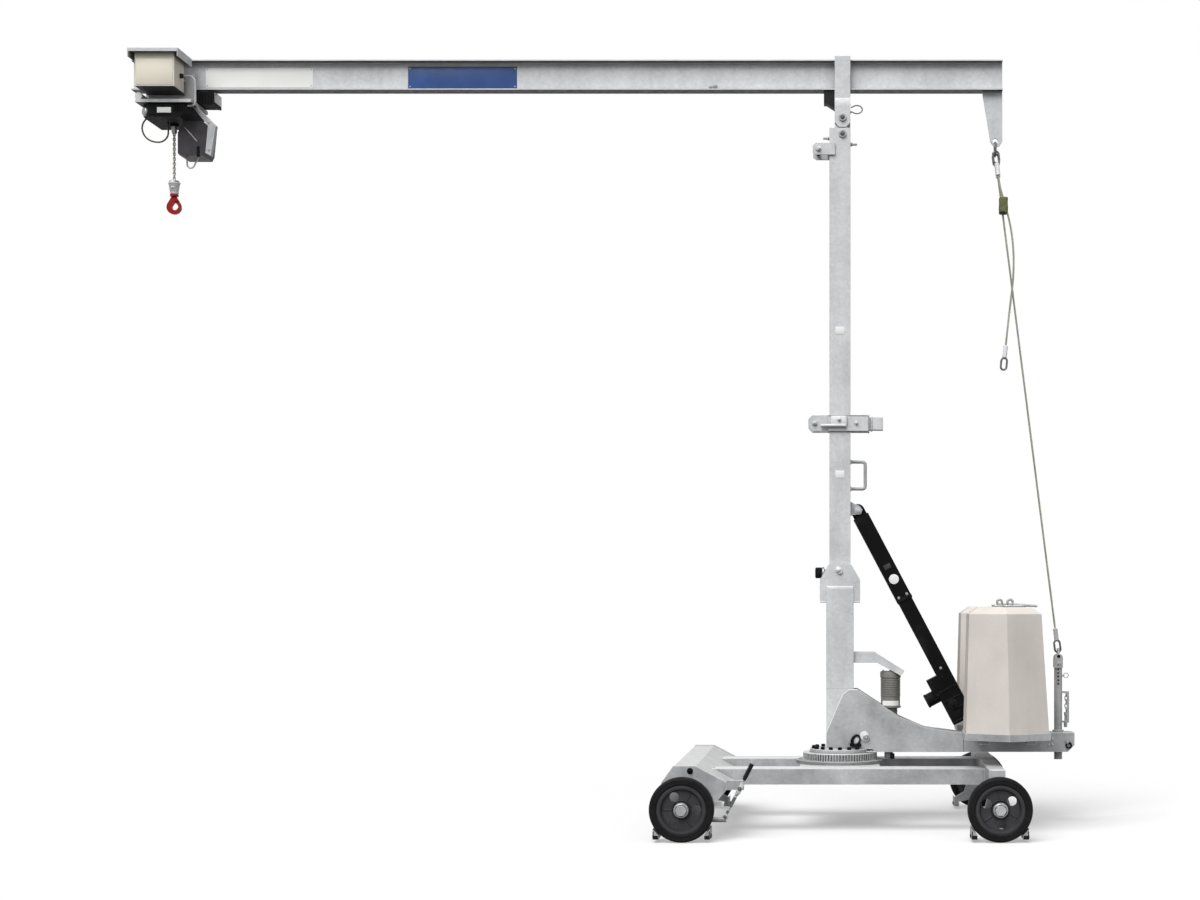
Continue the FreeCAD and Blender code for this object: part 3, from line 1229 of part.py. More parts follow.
def slewing_drive():
    foot = rod("z", "motor_x", "0", "arm_top", "motor_foot_radius", "motor_bottom - arm_top")
    body = rod("z", "motor_x", "0", "motor_bottom", "motor_radius", "motor_height")
    cap = rod("z", "motor_x", "0", "motor_bottom + motor_height", "motor_radius * 0.92", "motor_cap")
    node(fuse(foot, body, cap), "slew_motor")
    half = "guard_width / 2"
    top = "guard_height + guard_wall"
    sheet_face = [
        ("post_width / 2", "guard_height"), ("post_width / 2", top), ("guard_bend_x", top),
        ("guard_tip_x", f"{top} - guard_tip_drop"),
        ("guard_tip_x - guard_fold", "guard_height - guard_tip_drop - guard_fold"),
        ("guard_bend_x - guard_fold / 2", "guard_height"),
    ]
    roof = profile("XZ", sheet_face, "guard_width", y=half)
    lip_face = [
        ("post_width / 2", "guard_height - guard_lip"), ("post_width / 2", "guard_height"),
        ("guard_bend_x - guard_fold / 2", "guard_height"),
        ("guard_tip_x - guard_fold", "guard_height - guard_tip_drop - guard_fold"),
        ("guard_tip_x - guard_fold - guard_lip_end",
         "guard_height - guard_tip_drop - guard_fold - guard_lip_end"),
        ("guard_bend_x + guard_lip_end", "guard_height - guard_lip"),
    ]
    near = profile("XZ", lip_face, "guard_wall", y=f"-{half} + guard_wall")
    far = profile("XZ", lip_face, "guard_wall", y=half)
    node(fuse(roof, near, far), "motor_guard")


# Trolley and hoist; lengths along X here are measured from the load chain

def at_chain(x):
    return f"-hoist_x + {x}"


def trolley():
    half = "trolley_plate_length / 2"
    low = "carriage_top"
    high = "jib_bottom + jib_flange + 2 * trolley_wheel_radius + roller_gap"
    plates = []
    for start, end in (("-trolley_outer", "-trolley_inner"), ("trolley_inner", "trolley_outer")):
        plates.append(box((at_chain(f"0 - {half}"), at_chain(half)), (start, end), (low, high)))
    plate = box((at_chain("0 - carriage_front"), at_chain("carriage_back")),
                ("-carriage_half", "carriage_far"), ("carriage_bottom", "carriage_top"))
    roller = rod("y", at_chain("0 - roller_inset"), "-roller_near",
                 "carriage_top + roller_radius - running_gap", "roller_radius", "roller_near - roller_far")
    bore = rod("z", at_chain("0"), "0", "carriage_bottom - cut_over", "chain_bore",
               "carriage_wall + 2 * cut_over")
    node(fuse(cut(plate, bore), roller, *plates), "trolley_frame")
    rollers = []
    centre = "jib_bottom + jib_flange + trolley_wheel_radius + seat_gap"
    for way in (-1, 1):
        x = at_chain(f"{way} * trolley_wheel_base / 2")
        for side in (-1, 1):
            start = "-trolley_inner + roller_gap"
            if side > 0:
                start = "trolley_inner - trolley_wheel_width - roller_gap"
            tread = rod("y", x, start, centre, "trolley_wheel_radius", "trolley_wheel_width")
            hub_start = f"{start} + trolley_wheel_width" if side > 0 else "-trolley_inner"
            hub = rod("y", x, hub_start, centre, "trolley_wheel_radius / 3", "roller_gap")
            rollers.append(fuse(tread, hub))
    node(together(*rollers), "trolley_wheels")

    x = (at_chain("0 - box_shift - box_length / 2"), at_chain("0 - box_shift + box_length / 2"))
    body = box(x, ("box_far - box_depth", "box_far"), ("box_bottom", "box_bottom + box_height"))
    foot = box((at_chain("0 - box_length / 4"), at_chain("box_length / 4")), ("box_far", "-trolley_outer"),
               ("box_bottom + box_foot_low", "box_bottom + box_foot_high"))
    node(fuse(body, foot), "control_box")
    top = "box_bottom + box_height"
    roof_x = (f"{x[0]} - hood_overhang", f"{x[1]} + hood_overhang")
    roof_y = ("box_far - box_depth - hood_overhang", "-trolley_inner")
    roof = box(roof_x, roof_y, (top, f"{top} + hood_wall"))
    left = box((roof_x[0], f"{roof_x[0]} + hood_wall"), roof_y, (f"{top} - hood_lip", top))
    right = box((f"{roof_x[1]} - hood_wall", roof_x[1]), roof_y, (f"{top} - hood_lip", top))
    front = box(roof_x, (roof_y[0], f"{roof_y[0]} + hood_wall"), (f"{top} - hood_front_lip", top))
    node(fuse(roof, left, right, front), "control_hood")


def hoist():
    left = at_chain("0 - hoist_front")
    right = at_chain("hoist_back")
    upright = "carriage_bottom - hoist_height / 3"
    side = [
        (left, "carriage_bottom"), (right, "carriage_bottom"), (right, upright),
        (f"{right} - hoist_slant", "hoist_bottom"), (f"{left} + hoist_bevel", "hoist_bottom"),
        (left, "hoist_bottom + hoist_bevel"),
    ]
    plan = [
        (left, "-hoist_corner_y"), (at_chain("0 - hoist_corner_x"), "-hoist_near"), (right, "-hoist_near"),
        (right, "hoist_far"), (left, "hoist_far"),
    ]
    housing = doc.addObject("Part::MultiCommon", "Housing")
    housing.Shapes = [profile("XZ", side, "hoist_near + hoist_far", y="hoist_far"),
                      profile("XY", plan, "hoist_height", z="hoist_bottom")]
    bore = rod("z", at_chain("0"), "0", "hoist_bottom - cut_over", "chain_bore",
               "hoist_height + 2 * cut_over")
    node(cut(housing, bore), "hoist_body")

    start = at_chain("carriage_back")
    knee = at_chain("cover_bend")
    foot = at_chain("cover_foot")
    outer = [(start, "carriage_bottom"), (knee, "cover_bend_height"), (foot, "cover_foot_height")]
    flange = outer + [
        (f"{foot} - cover_flange", "cover_foot_height + cover_flange / 2"),
        (f"{knee} - cover_flange * 3 / 2", "cover_bend_height"),
        (f"{start} - cover_top", "carriage_bottom"),
    ]
    sheet_face = outer + [
        (f"{foot} - cover_wall", "cover_foot_height"),
        (f"{knee} - cover_wall", "cover_bend_height - cover_wall / 3"),
        (f"{start} - 2 * cover_wall", "carriage_bottom"),
    ]
    near = profile("XZ", flange, "cover_wall", y="-cover_near + cover_wall")
    back = profile("XZ", sheet_face, "cover_width", y="-cover_near + cover_width")
    node(fuse(near, back), "hoist_cover")

    left = at_chain("bin_start")
    right = f"{knee} - cover_flange * 3 / 2 - bin_play"
    right_foot = f"{foot} - cover_flange - bin_play"
    bin_face = [
        (left, "bin_low + bin_lip"), (left, "bin_top"), (f"{left} + bin_neck", "hoist_bottom"),
        (f"{right} - hoist_bottom + cover_bend_height", "hoist_bottom"), (right, "cover_bend_height"),
        (right_foot, "bin_low + 2 * bin_lip"), (f"{right_foot} - bin_lip", "bin_low"),
        (f"{left} + bin_lip", "bin_low"),
    ]
    node(profile("XZ", bin_face, "2 * bin_half", y="bin_half"), "chain_bin")

    start = at_chain("drive_block_start")
    end = f"{start} + drive_block_length"
    block = box((start, end), ("-drive_block_half", "drive_block_half"),
                ("carriage_top", "carriage_top + drive_block_height"))
    plate = box((end, f"{end} + drive_plate_wall"),
                ("-drive_block_half - drive_plate_lip", "drive_block_half + drive_plate_lip"),
                ("carriage_top", "carriage_top + drive_block_height"))
    node(fuse(block, plate), "travel_drive")


def hoist_cable():
    """Cable that loops from the control box to the hoist body, held at both ends."""
    x = number("axis_x - hoist_x - box_shift + box_length / 2")
    y = number("-hoist_near + cable_diameter")
    z = number("box_bottom + cable_rise")
    out = x + number("cable_loop")
    end = number("axis_x - hoist_x + hoist_back")
    target = number("carriage_bottom - hoist_height / 6")
    points = [(x, y, z), (out, y, z), (out, y, target), (end, y, target)]
    path, radii = bent_path(points, 0.45)
    node(made(faceted_bar(path.discretize(Deflection=2), number("cable_diameter / 2"))), "control_cable")


def chain_link(flat):
    """One flat-sided link about the origin, long along Z."""
    bar = number("chain_bar")
    slot = number("chain_slot")
    pitch = number("chain_pitch")
    across = FreeCAD.Vector(0, bar, 0)

    def plate(grow):
        corners = [FreeCAD.Vector(*corner) for corner in oval(pitch + grow, slot + grow, 4)]
        return Part.Face(Part.makePolygon(corners + corners[:1])).extrude(across)

    ring = plate(2 * bar).cut(plate(0))
    ring.translate(across * -0.5)
    if flat:
        ring.rotate(FreeCAD.Vector(), FreeCAD.Vector(0, 0, 1), 90)
    return ring


def load_line():
    step = number("chain_step")
    first = number("block_top + chain_pitch / 2 + chain_bar")
    links = []
    for index in range(int(number("chain_links"))):
        ring = chain_link(index % 2)
        ring.translate(FreeCAD.Vector(0, 0, first + step * index))
        links.append(ring)
    chain = made(Part.makeCompound(links))
    place(chain, at_chain("0"))
    node(chain, "load_chain")

    x = at_chain("0")
    shoulder = "block_top - block_shoulder"
    bell = doc.addObject("Part::Cone", "Cone")
    bind(bell, "Radius1", "block_foot_radius")
    bind(bell, "Radius2", "block_radius")
    bind(bell, "Height", "block_height - block_shoulder")
    place(bell, x, "0", "block_bottom")
    crown = doc.addObject("Part::Cone", "Cone")
    bind(crown, "Radius1", "block_radius")
    bind(crown, "Radius2", "block_radius - block_shoulder / 2")
    bind(crown, "Height", "block_shoulder")
    place(crown, x, "0", shoulder)
    bore = rod("z", x, "0", "block_bottom - cut_over", "hook_stem_radius + shaft_gap", "block_height / 2")
    node(cut(fuse(bell, crown), bore), "hook_block")
    hook()


def teardrop(x, radius, neck, rise):
    """A face in the XZ plane: a circle beside the origin drawn out to a flat neck above it."""
    span = math.hypot(neck, rise)
    lean = math.atan2(rise, neck) - math.acos(radius / span)
    touch = FreeCAD.Vector(radius * math.cos(lean), 0, radius * math.sin(lean))
    centre = FreeCAD.Vector(x, 0, 0)
    right = centre + touch
    left = centre + FreeCAD.Vector(-touch.x, 0, touch.z)
    tops = [centre + FreeCAD.Vector(way * neck, 0, rise) for way in (1, -1)]
    return Part.Face(Part.Wire([
        Part.LineSegment(tops[0], right).toShape(),
        Part.Arc(right, centre - FreeCAD.Vector(0, 0, radius), left).toShape(),
        Part.LineSegment(left, tops[1]).toShape(),
        Part.LineSegment(tops[1], tops[0]).toShape()]))


def hook():
    """Forged hook with a round eye; a latch closes its mouth. The middle of the bow is the origin."""
    wall = number("hook_wall")
    radius = number("hook_radius")
    gap = number("seat_gap")
    across = FreeCAD.Vector(0, wall, 0)
    rise = number("hook_height") - radius
    eye = number("hook_eye_radius")
    bow = teardrop(0, radius, number("hook_neck"), rise).extrude(across)
    throat = teardrop(number("hook_eye_shift"), eye, number("hook_neck") / 4, number("hook_eye_height") - eye)
    link = bow.cut(throat.extrude(across))
    link.translate(across * -0.5)
    low = -number("latch_low")
    high = number("latch_high")
    start = FreeCAD.Vector(number("hook_eye_shift"), -wall, low)
    mouth = Part.makeBox(radius, 2 * wall, high - low, start)
    latch = Part.makeBox(radius, wall / 2, high - low - 2 * gap, start + FreeCAD.Vector(0, wall * 3 / 4, gap))
    stem = Part.makeCylinder(number("hook_stem_radius"), number("collar_height + block_height / 3"),
                             FreeCAD.Vector(0, 0, rise))
    collar = Part.makeCylinder(number("collar_radius"), number("collar_height - running_gap"),
                               FreeCAD.Vector(0, 0, rise))
    body = made(link.cut(mouth).fuse([stem, collar]))
    place(body, at_chain("0"), "0", "bow_height")
    node(body, "hook")
    tongue = made(link.common(latch))
    place(tongue, at_chain("0"), "0", "bow_height")
    node(tongue, "hook_latch")


chassis()
wheels()
brake()
slewing_ring()
lower_post()
mast()
lock_knob()
storage_brackets()
handle()
jib()
stay()
spare_rope()
arm()
tension_tube()
counterweights()
actuator()
slewing_drive()
trolley()
hoist()
hoist_cable()
load_line()

doc.recompute()
for thing in doc.Objects:
    if {"Invalid", "Error"} & set(thing.State):
        raise RuntimeError(f"{thing.Label}: {thing.State}")
for thing in nodes:
    if thing.Shape.isNull() or not thing.Shape.isValid() or thing.Shape.Volume < 1:
        raise RuntimeError(f"{thing.Label}: bad shape")

os.makedirs("parts", exist_ok=True)
for thing in nodes:
    thing.Shape.exportStep(f"parts/{thing.Label}.step")
print(len(nodes), "sub-parts written")
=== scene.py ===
import json
import math

import bmesh
import bpy
from mathutils import Matrix, Vector

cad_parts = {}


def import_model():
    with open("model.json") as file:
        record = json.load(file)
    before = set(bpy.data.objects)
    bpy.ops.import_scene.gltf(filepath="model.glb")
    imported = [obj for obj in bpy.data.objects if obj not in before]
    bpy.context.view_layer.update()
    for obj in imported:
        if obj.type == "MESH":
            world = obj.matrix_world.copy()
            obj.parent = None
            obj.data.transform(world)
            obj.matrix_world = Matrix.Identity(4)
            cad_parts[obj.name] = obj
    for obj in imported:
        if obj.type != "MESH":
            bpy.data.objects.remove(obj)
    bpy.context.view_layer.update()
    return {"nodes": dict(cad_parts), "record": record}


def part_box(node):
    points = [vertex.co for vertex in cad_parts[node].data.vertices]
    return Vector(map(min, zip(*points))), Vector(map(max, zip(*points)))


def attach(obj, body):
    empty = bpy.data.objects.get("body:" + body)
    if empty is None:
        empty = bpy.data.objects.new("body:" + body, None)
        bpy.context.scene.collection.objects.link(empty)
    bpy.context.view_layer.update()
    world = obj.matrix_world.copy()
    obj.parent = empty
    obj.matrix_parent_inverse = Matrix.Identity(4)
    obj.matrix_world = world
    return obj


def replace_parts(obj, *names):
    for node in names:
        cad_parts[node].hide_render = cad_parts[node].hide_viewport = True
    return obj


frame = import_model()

nodes = frame["nodes"]
scene = bpy.context.scene
scene.view_settings.view_transform = "Standard"

# Slewing axis in the shared frame, in metres. Places below are in millimetres from it.
AXIS = 1.5745
UP, DOWN = Vector((0, 0, 1)), Vector((0, 0, -1))
LEFT, RIGHT = Vector((-1, 0, 0)), Vector((1, 0, 0))
NEAR, FAR = Vector((0, -1, 0)), Vector((0, 1, 0))
SIDES = (-1, 1)
SIDE_NAMES = {"near": -1, "far": 1}


def at(x, y, z):
    """Place in the shared frame, from millimetres."""
    return Vector((AXIS + x / 1000, y / 1000, z / 1000))


def local(spot):
    """Millimetres from the slewing axis, from a place in the shared frame."""
    return Vector((spot[0] - AXIS, spot[1], spot[2])) * 1000


def show(name, data):
    """New object in the scene."""
    thing = bpy.data.objects.new(name, data)
    scene.collection.objects.link(thing)
    return thing


# Camera: as far off and as high as the photograph's

CAMERA = (1.6145, -12.65, 1.48)
CAMERA_SHIFT = (-0.205, 0.1258)
SENSOR, LENS = 36, 57     # millimetres
SIGHT = 200              # metres
camera_data = bpy.data.cameras.new("camera")
camera = show("camera", camera_data)
camera.location = CAMERA
camera.rotation_euler = (math.radians(90), 0, 0)
camera_data.sensor_width = SENSOR
camera_data.lens = LENS
camera_data.shift_x, camera_data.shift_y = CAMERA_SHIFT
camera_data.clip_end = SIGHT
scene.camera = camera


# Materials

LOOKUPS = 4     # rays of a bevel or a corner node


def scaled(color, factor):
    return tuple(c * factor for c in color)


class Nodes:
    """Short calls for a material's node tree."""

    def __init__(self, name, color, rough, metal, gloss=0.5):
        self.material = bpy.data.materials.new(name)
        self.material.use_nodes = True
        self.material.diffuse_color = (*color, 1)
        self.tree = self.material.node_tree
        self.shader = self.tree.nodes["Principled BSDF"]
        self.shader.inputs["Base Color"].default_value = (*color, 1)
        self.shader.inputs["Roughness"].default_value = rough
        self.shader.inputs["Metallic"].default_value = metal
        self.shader.inputs["Specular IOR Level"].default_value = gloss
        self.place = self.new("TexCoord").outputs["Object"]
        self.normal = None

    def new(self, kind, **values):
        """Node of a kind, with values on its sockets."""
        node = self.tree.nodes.new("ShaderNode" + kind)
        for socket, value in values.items():
            node.inputs[socket].default_value = value
        return node

    def link(self, output, target):
        self.tree.links.new(output, target)

    def feed(self, texture, stretch=None):
        """Gives a texture the object's own coordinates."""
        place = self.place
        if stretch is not None:
            mapping = self.new("Mapping", Scale=stretch)
            self.link(place, mapping.inputs["Vector"])
            place = mapping.outputs["Vector"]
        self.link(place, texture.inputs["Vector"])

    def noise(self, scale, detail=4, stretch=None):
        texture = self.new("TexNoise", Scale=scale, Detail=detail)
        self.feed(texture, stretch)
        return texture.outputs["Fac"]

    def cells(self, scale, output="Distance"):
        texture = self.new("TexVoronoi", Scale=scale)
        self.feed(texture)
        return texture.outputs[output]

    def waves(self, scale, distortion, direction):
        texture = self.new("TexWave", Scale=scale, Distortion=distortion)
        texture.bands_direction = direction
        self.feed(texture)
        return texture.outputs["Fac"]

    def ramp(self, fac, stops):
        ramp = self.new("ValToRGB")
        ends = ramp.color_ramp.elements
        while len(ends) < len(stops):
            ends.new(0.5)
        for element, (spot, color) in zip(ends, stops):
            element.position = spot
            element.color = (*color, 1)
        self.link(fac, ramp.inputs["Fac"])
        return ramp.outputs["Color"]

    def greys(self, fac, low, high, start=0.3, end=0.7):
        return self.ramp(fac, [(start, (low,) * 3), (end, (high,) * 3)])

    def put(self, value, target):
        if isinstance(value, bpy.types.NodeSocket):
            self.link(value, target)
        elif isinstance(value, tuple):
            target.default_value = (*value, 1)
        else:
            target.default_value = value

    def mix(self, first, second, fac, blend="MIX"):
        mix = self.new("Mix")
        mix.data_type = "RGBA"
        mix.blend_type = blend
        self.put(fac, mix.inputs["Factor"])
        self.put(first, mix.inputs["A"])
        self.put(second, mix.inputs["B"])
        return mix.outputs["Result"]

    def times(self, first, second):
        return self.mix(first, second, 1.0, "MULTIPLY")

    def corners(self, reach, power):
        """Painted shade where faces meet, as a grey that darkens in corners."""
        shade = self.new("AmbientOcclusion", Distance=reach)
        shade.samples = LOOKUPS
        return self.greys(shade.outputs["AO"], power, 1.0, 0.1, 0.75)

    def bevel(self, radius):
        bevel = self.new("Bevel", Radius=radius)
        bevel.samples = LOOKUPS
        return bevel.outputs["Normal"]

    def rounded(self, radius):
        """Lets the edges catch light as if they were rounded."""
        self.normal = self.bevel(radius)
        self.link(self.normal, self.shader.inputs["Normal"])

    def edges(self, radius):
        """Where the surface turns over an edge, as a factor."""
        same = self.new("VectorMath")
        same.operation = "DOT_PRODUCT"
        self.link(self.bevel(radius), same.inputs[0])
        self.link(self.new("NewGeometry").outputs["Normal"], same.inputs[1])
        return self.ramp(same.outputs["Value"], [(0.88, (1, 1, 1)), (0.985, (0, 0, 0))])

    def bump(self, height, depth, strength):
        bump = self.new("Bump", Distance=depth, Strength=strength)
        self.link(height, bump.inputs["Height"])
        if self.normal is not None:
            self.link(self.normal, bump.inputs["Normal"])
        self.normal = bump.outputs["Normal"]
        self.link(self.normal, self.shader.inputs["Normal"])

    def facing(self, start, end):
        """How far a face looks up, as a factor from 0 at start to 1 at end."""
        parts = self.new("SeparateXYZ")
        self.link(self.new("TexCoord").outputs["Normal"], parts.inputs["Vector"])
        spread = self.new("MapRange", **{"From Min": start, "From Max": end})
        self.link(parts.outputs["Z"], spread.inputs["Value"])
        return spread.outputs["Result"]

    def color(self, output):
        self.link(output, self.shader.inputs["Base Color"])

    def rough(self, fac, low, high):
        self.link(self.greys(fac, low, high), self.shader.inputs["Roughness"])


def galvanised(name, level, edge, cloudy, metal, painted_top_level, painted_underside_shade):
    """Hot-dip zinc: pale cloudy grey with faint flakes, a painted tone along its edges, a painted
    highlight on upward faces, and painted shade in the corners and underneath."""
    m = Nodes(name, (level, level * 1.01, level * 1.02), 0.5, metal, 0.12)
    m.rounded(0.003)
    cloud = m.greys(m.noise(4, 6), level * (1 - cloudy), level * (1 + cloudy))
    spangle = m.new("SeparateColor")
    m.link(m.cells(55, "Color"), spangle.inputs["Color"])
    flakes = m.greys(spangle.outputs["Red"], 0.93, 1.05, 0.0, 1.0)
    runs = m.greys(m.noise(9, 3, (1, 1, 0.12)), 0.90, 1.05)
    cool = m.times(m.times(m.times(cloud, flakes), runs), (0.985, 1.0, 1.02))
    # Painted highlight: faces that look up are lightened towards a level of their own.
    upward = m.greys(m.facing(0.25, 1.0), 0.0, 0.75, 0.0, 1.0)
    top_lit = m.mix(cool, (painted_top_level,) * 3, upward)
    # Painted shade: faces that look down are darkened, and so are the places where faces meet.
    underside_shade = m.greys(m.facing(-1.0, -0.25), painted_underside_shade, 1.0, 0.0, 1.0)
    shaded = m.times(m.times(top_lit, underside_shade), m.corners(0.07, 0.38))
    # Painted along the edges: a highlight where the edge level is above the surface's, a dark line
    # where it is below.
    m.color(m.mix(shaded, (edge,) * 3, m.edges(0.006)))
    m.rough(m.noise(30, 3), 0.40, 0.62)
    m.bump(m.noise(140, 3), 0.0006, 0.35)
    return m.material


def painted(name, color, rough, dust, peel, gloss=0.3, reach=0.03, shade=0.7):
    """Satin paint with a fine orange peel, some dust and painted shade in its corners."""
    m = Nodes(name, color, rough, 0.0, gloss)
    m.rounded(0.002)
    pale = tuple(min(1.0, c * (1 + dust) + 0.012 * dust) for c in color)
    dark = scaled(color, 1 - dust / 2)
    blotch = m.ramp(m.noise(7, 5), [(0.3, dark), (0.55, color), (0.8, pale)])
    # Painted shade darkens the places where faces meet.
    m.color(m.times(blotch, m.corners(reach, shade)))
    m.rough(m.noise(25, 4), rough * 0.8, min(1.0, rough * 1.25))
    m.bump(m.noise(peel, 2), 0.0004, 0.3)
    return m.material


def moulded(name, color, rough, grain, gloss=0.25):
    """Moulded plastic or rubber with a fine grain, rubbed patches and painted shade where faces
    meet.
    """
    m = Nodes(name, color, rough, 0.0, gloss)
    m.rounded(0.002)
    pale = tuple(c * 1.7 + 0.004 for c in color)
    patch = m.ramp(m.noise(11, 5), [(0.35, color), (0.8, pale)])
    # Painted shade darkens the places where faces meet.
    m.color(m.times(patch, m.corners(0.02, 0.6)))
    m.rough(m.noise(40, 3), rough * 0.85, min(1.0, rough * 1.15))
    m.bump(m.cells(grain), 0.0004, 0.35)
    return m.material


def plated(name, color, rough, scale=60):
    """Bright plated steel with drawn marks."""
    m = Nodes(name, color, rough, 0.6)
    m.rounded(0.0015)
    m.color(m.ramp(m.noise(scale, 4), [(0.3, scaled(color, 0.72)), (0.6, color)]))
    m.rough(m.noise(scale * 2, 3), rough * 0.7, rough * 1.4)
    m.bump(m.noise(scale * 6, 2), 0.0002, 0.3)
    return m.material


def woven(name, color):
    """Webbing: a tight weave with worn threads."""
    m = Nodes(name, color, 0.85, 0.0, 0.15)
    weave = m.mix(m.waves(420, 0.4, "Z"), m.waves(420, 0.4, "DIAGONAL"), 0.5)
    age = m.ramp(m.noise(30, 4), [(0.3, scaled(color, 0.8)), (0.7, scaled(color, 1.25))])
    m.color(m.times(age, m.greys(weave, 0.65, 1.15)))
    m.rough(m.noise(60, 3), 0.78, 0.95)
    m.bump(weave, 0.0012, 0.6)
    return m.material


def wire_rope(name, color):
    """Greased wire rope: dark between its wires."""
    m = Nodes(name, color, 0.5, 0.5)
    wires = m.noise(900, 2, (1, 1, 0.35))
    age = m.ramp(m.noise(12, 4), [(0.3, scaled(color, 0.8)), (0.7, scaled(color, 1.2))])
    m.color(m.times(age, m.greys(wires, 0.5, 1.15)))
    m.rough(m.noise(80, 2), 0.38, 0.62)
    m.bump(wires, 0.0008, 0.6)
    return m.material


def concrete(name, color):
    """Cast concrete: fine sand, small air holes, cloudy stains, drip marks and painted shade where
    faces meet.
    """
    m = Nodes(name, color, 0.85, 0.0, 0.2)
    m.rounded(0.006)
    cloud = m.ramp(m.noise(3, 6), [(0.3, (0.655, 0.605, 0.565)), (0.7, (0.765, 0.715, 0.67))])
    sand = m.greys(m.noise(260, 2), 0.93, 1.05)
    drips = m.greys(m.noise(10, 4, (1, 1, 0.15)), 0.97, 1.02)
    holes = m.greys(m.cells(70), 0.62, 1.0, 0.06, 0.16)
    sparse = m.greys(m.noise(12, 2), 0.0, 1.0, 0.5, 0.62)
    pits = m.mix((1.0, 1.0, 1.0), holes, sparse)
    body = m.times(m.times(m.times(cloud, sand), drips), pits)
    # Painted shade darkens the places where faces meet.
    m.color(m.times(body, m.corners(0.05, 0.65)))
    m.rough(m.noise(60, 3), 0.78, 0.95)
    m.bump(pits, 0.0025, 0.6)
    m.bump(m.noise(120, 4), 0.0012, 0.5)
    return m.material


ZINC = {    # level, level painted on the edges, cloudiness, metallic, level of the painted highlight on upward faces, painted shade underneath
    "galvanised": (0.43, 0.85, 0.26, 0.14, 0.66, 0.45),
    "galvanised_bright": (0.64, 0.54, 0.08, 0.06, 0.74, 0.12),
    "gear_zinc": (0.27, 0.8, 0.2, 0.12, 0.4, 0.45),
    "plate_zinc": (0.80, 0.85, 0.08, 0.1, 0.84, 0.5),
}
PAINT = {   # colour, roughness, dust, scale of the peel, gloss, reach and depth of the painted shade where faces meet
    "black_paint": ((0.0055, 0.0055, 0.006), 0.42, 0.5, 700, 0.05),
    "beige_box": ((0.82, 0.765, 0.65), 0.42, 0.05, 600, 0.25, 0.14, 0.22),
    "hook_red": ((0.32, 0.01, 0.008), 0.34, 0.3, 500, 0.2),
    "motor_grey": ((0.20, 0.195, 0.18), 0.4, 0.3, 500, 0.4),
    "plate_white": ((0.88, 0.88, 0.87), 0.4, 0.05, 500),
    "panel_blue": ((0.030, 0.075, 0.235), 0.4, 0.25, 500),
}
MOULDING = {    # colour, roughness, scale of the grain, gloss
    "black_housing": ((0.012, 0.0115, 0.0125), 0.6, 900, 0.03),
    "bin_grey": ((0.042, 0.039, 0.043), 0.5, 900, 0.15),
    "lead": ((0.085, 0.082, 0.062), 0.5, 900, 0.2),
    "tyre": ((0.006, 0.006, 0.0062), 0.62, 500, 0.1),
    "rim": ((0.027, 0.027, 0.030), 0.5, 700, 0.25),
    "rubber": ((0.009, 0.009, 0.0095), 0.6, 600, 0.15),
    "cable_grey": ((0.44, 0.45, 0.46), 0.5, 800),
}
PLATING = {     # colour, roughness, scale of the marks
    "fitting": ((0.36, 0.365, 0.37), 0.36),
    "dark_zinc": ((0.13, 0.13, 0.13), 0.4),
    "chain": ((0.36, 0.34, 0.28), 0.38, 90),
}
WEBBING = {"olive_strap": ((0.17, 0.18, 0.09),)}
WIRE = {"rope": ((0.36, 0.37, 0.29),)}
CAST = {"concrete": ((0.62, 0.585, 0.55),)}
MATERIALS = {}
for make, finishes in (
    (galvanised, ZINC), (painted, PAINT), (moulded, MOULDING), (plated, PLATING),
    (woven, WEBBING), (wire_rope, WIRE), (concrete, CAST),
):
    for name, values in finishes.items():
        MATERIALS[name] = make(name, *values)

# Solids: the material of their slot, apart from those with a finish of their own
BRIGHT = (
    "mast", "lower_post", "jib_beam", "jib_strap", "jib_tail_plate", "mast_top_bracket",
    "mast_mid_clamp", "motor_guard", "trolley_frame", "control_hood",
)
FINISH = {name: "galvanised_bright" for name in BRIGHT}
FINISH.update({
    "chain_bin": "bin_grey", "stay_fittings": "dark_zinc", "spare_rope_ends": "dark_zinc",
    "ring_gear": "gear_zinc",
})
for part in frame["record"]["subparts"]:
    coats = nodes[part["node"]].data.materials
    coats.clear()
    coats.append(MATERIALS[FINISH.get(part["node"], part["material_slot"])])


# Loose rope: the route of the CAD solid, in steps from the ring that carries it

SPARE_ROUTE = [
    (18, -30, -176.6), (26, -30, -240), (46, -30, -315), (75, -30, -410), (106, -30, -540),
    (122, -30, -700), (119, -30, -866), (99, -30, -1030), (80, -30, -1196), (68, -30, -1312),
]
ROPE = 0.014                    # metres
ROPE_RADIUS = ROPE / 2 * 1000   # millimetres
(first_x, _, first_z), (next_x, _, next_z) = SPARE_ROUTE[:2]
low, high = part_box("spare_rope")
top_x = low.x + ROPE / 2 * math.cos(math.atan2(next_x - first_x, first_z - next_z))
ring = Vector((top_x - first_x / 1000, 0, high.z - first_z / 1000))
route = [ring + Vector(step) / 1000 for step in SPARE_ROUTE]


def route_curve(name, points, radius):
    """Smooth round cord near the points, through the first and the last."""
    data = bpy.data.curves.new(name, "CURVE")
    data.dimensions = "3D"
    data.resolution_u = 8
    spline = data.splines.new("NURBS")
    spline.points.add(len(points) - 1)
    for point, spot in zip(spline.points, points):
        point.co = (*spot, 1)
    spline.order_u = 3
    spline.use_endpoint_u = True
    data.bevel_depth = radius
    data.bevel_resolution = 4
    return show(name, data)


line = route_curve("line", route, 0)
drawn = bpy.data.meshes.new_from_object(line)
route_points = [vert.co.copy() for vert in drawn.vertices]
bpy.data.objects.remove(line)
bpy.data.meshes.remove(drawn)


# Hoist lead: a short loop from the end of the hoist to its chain guide

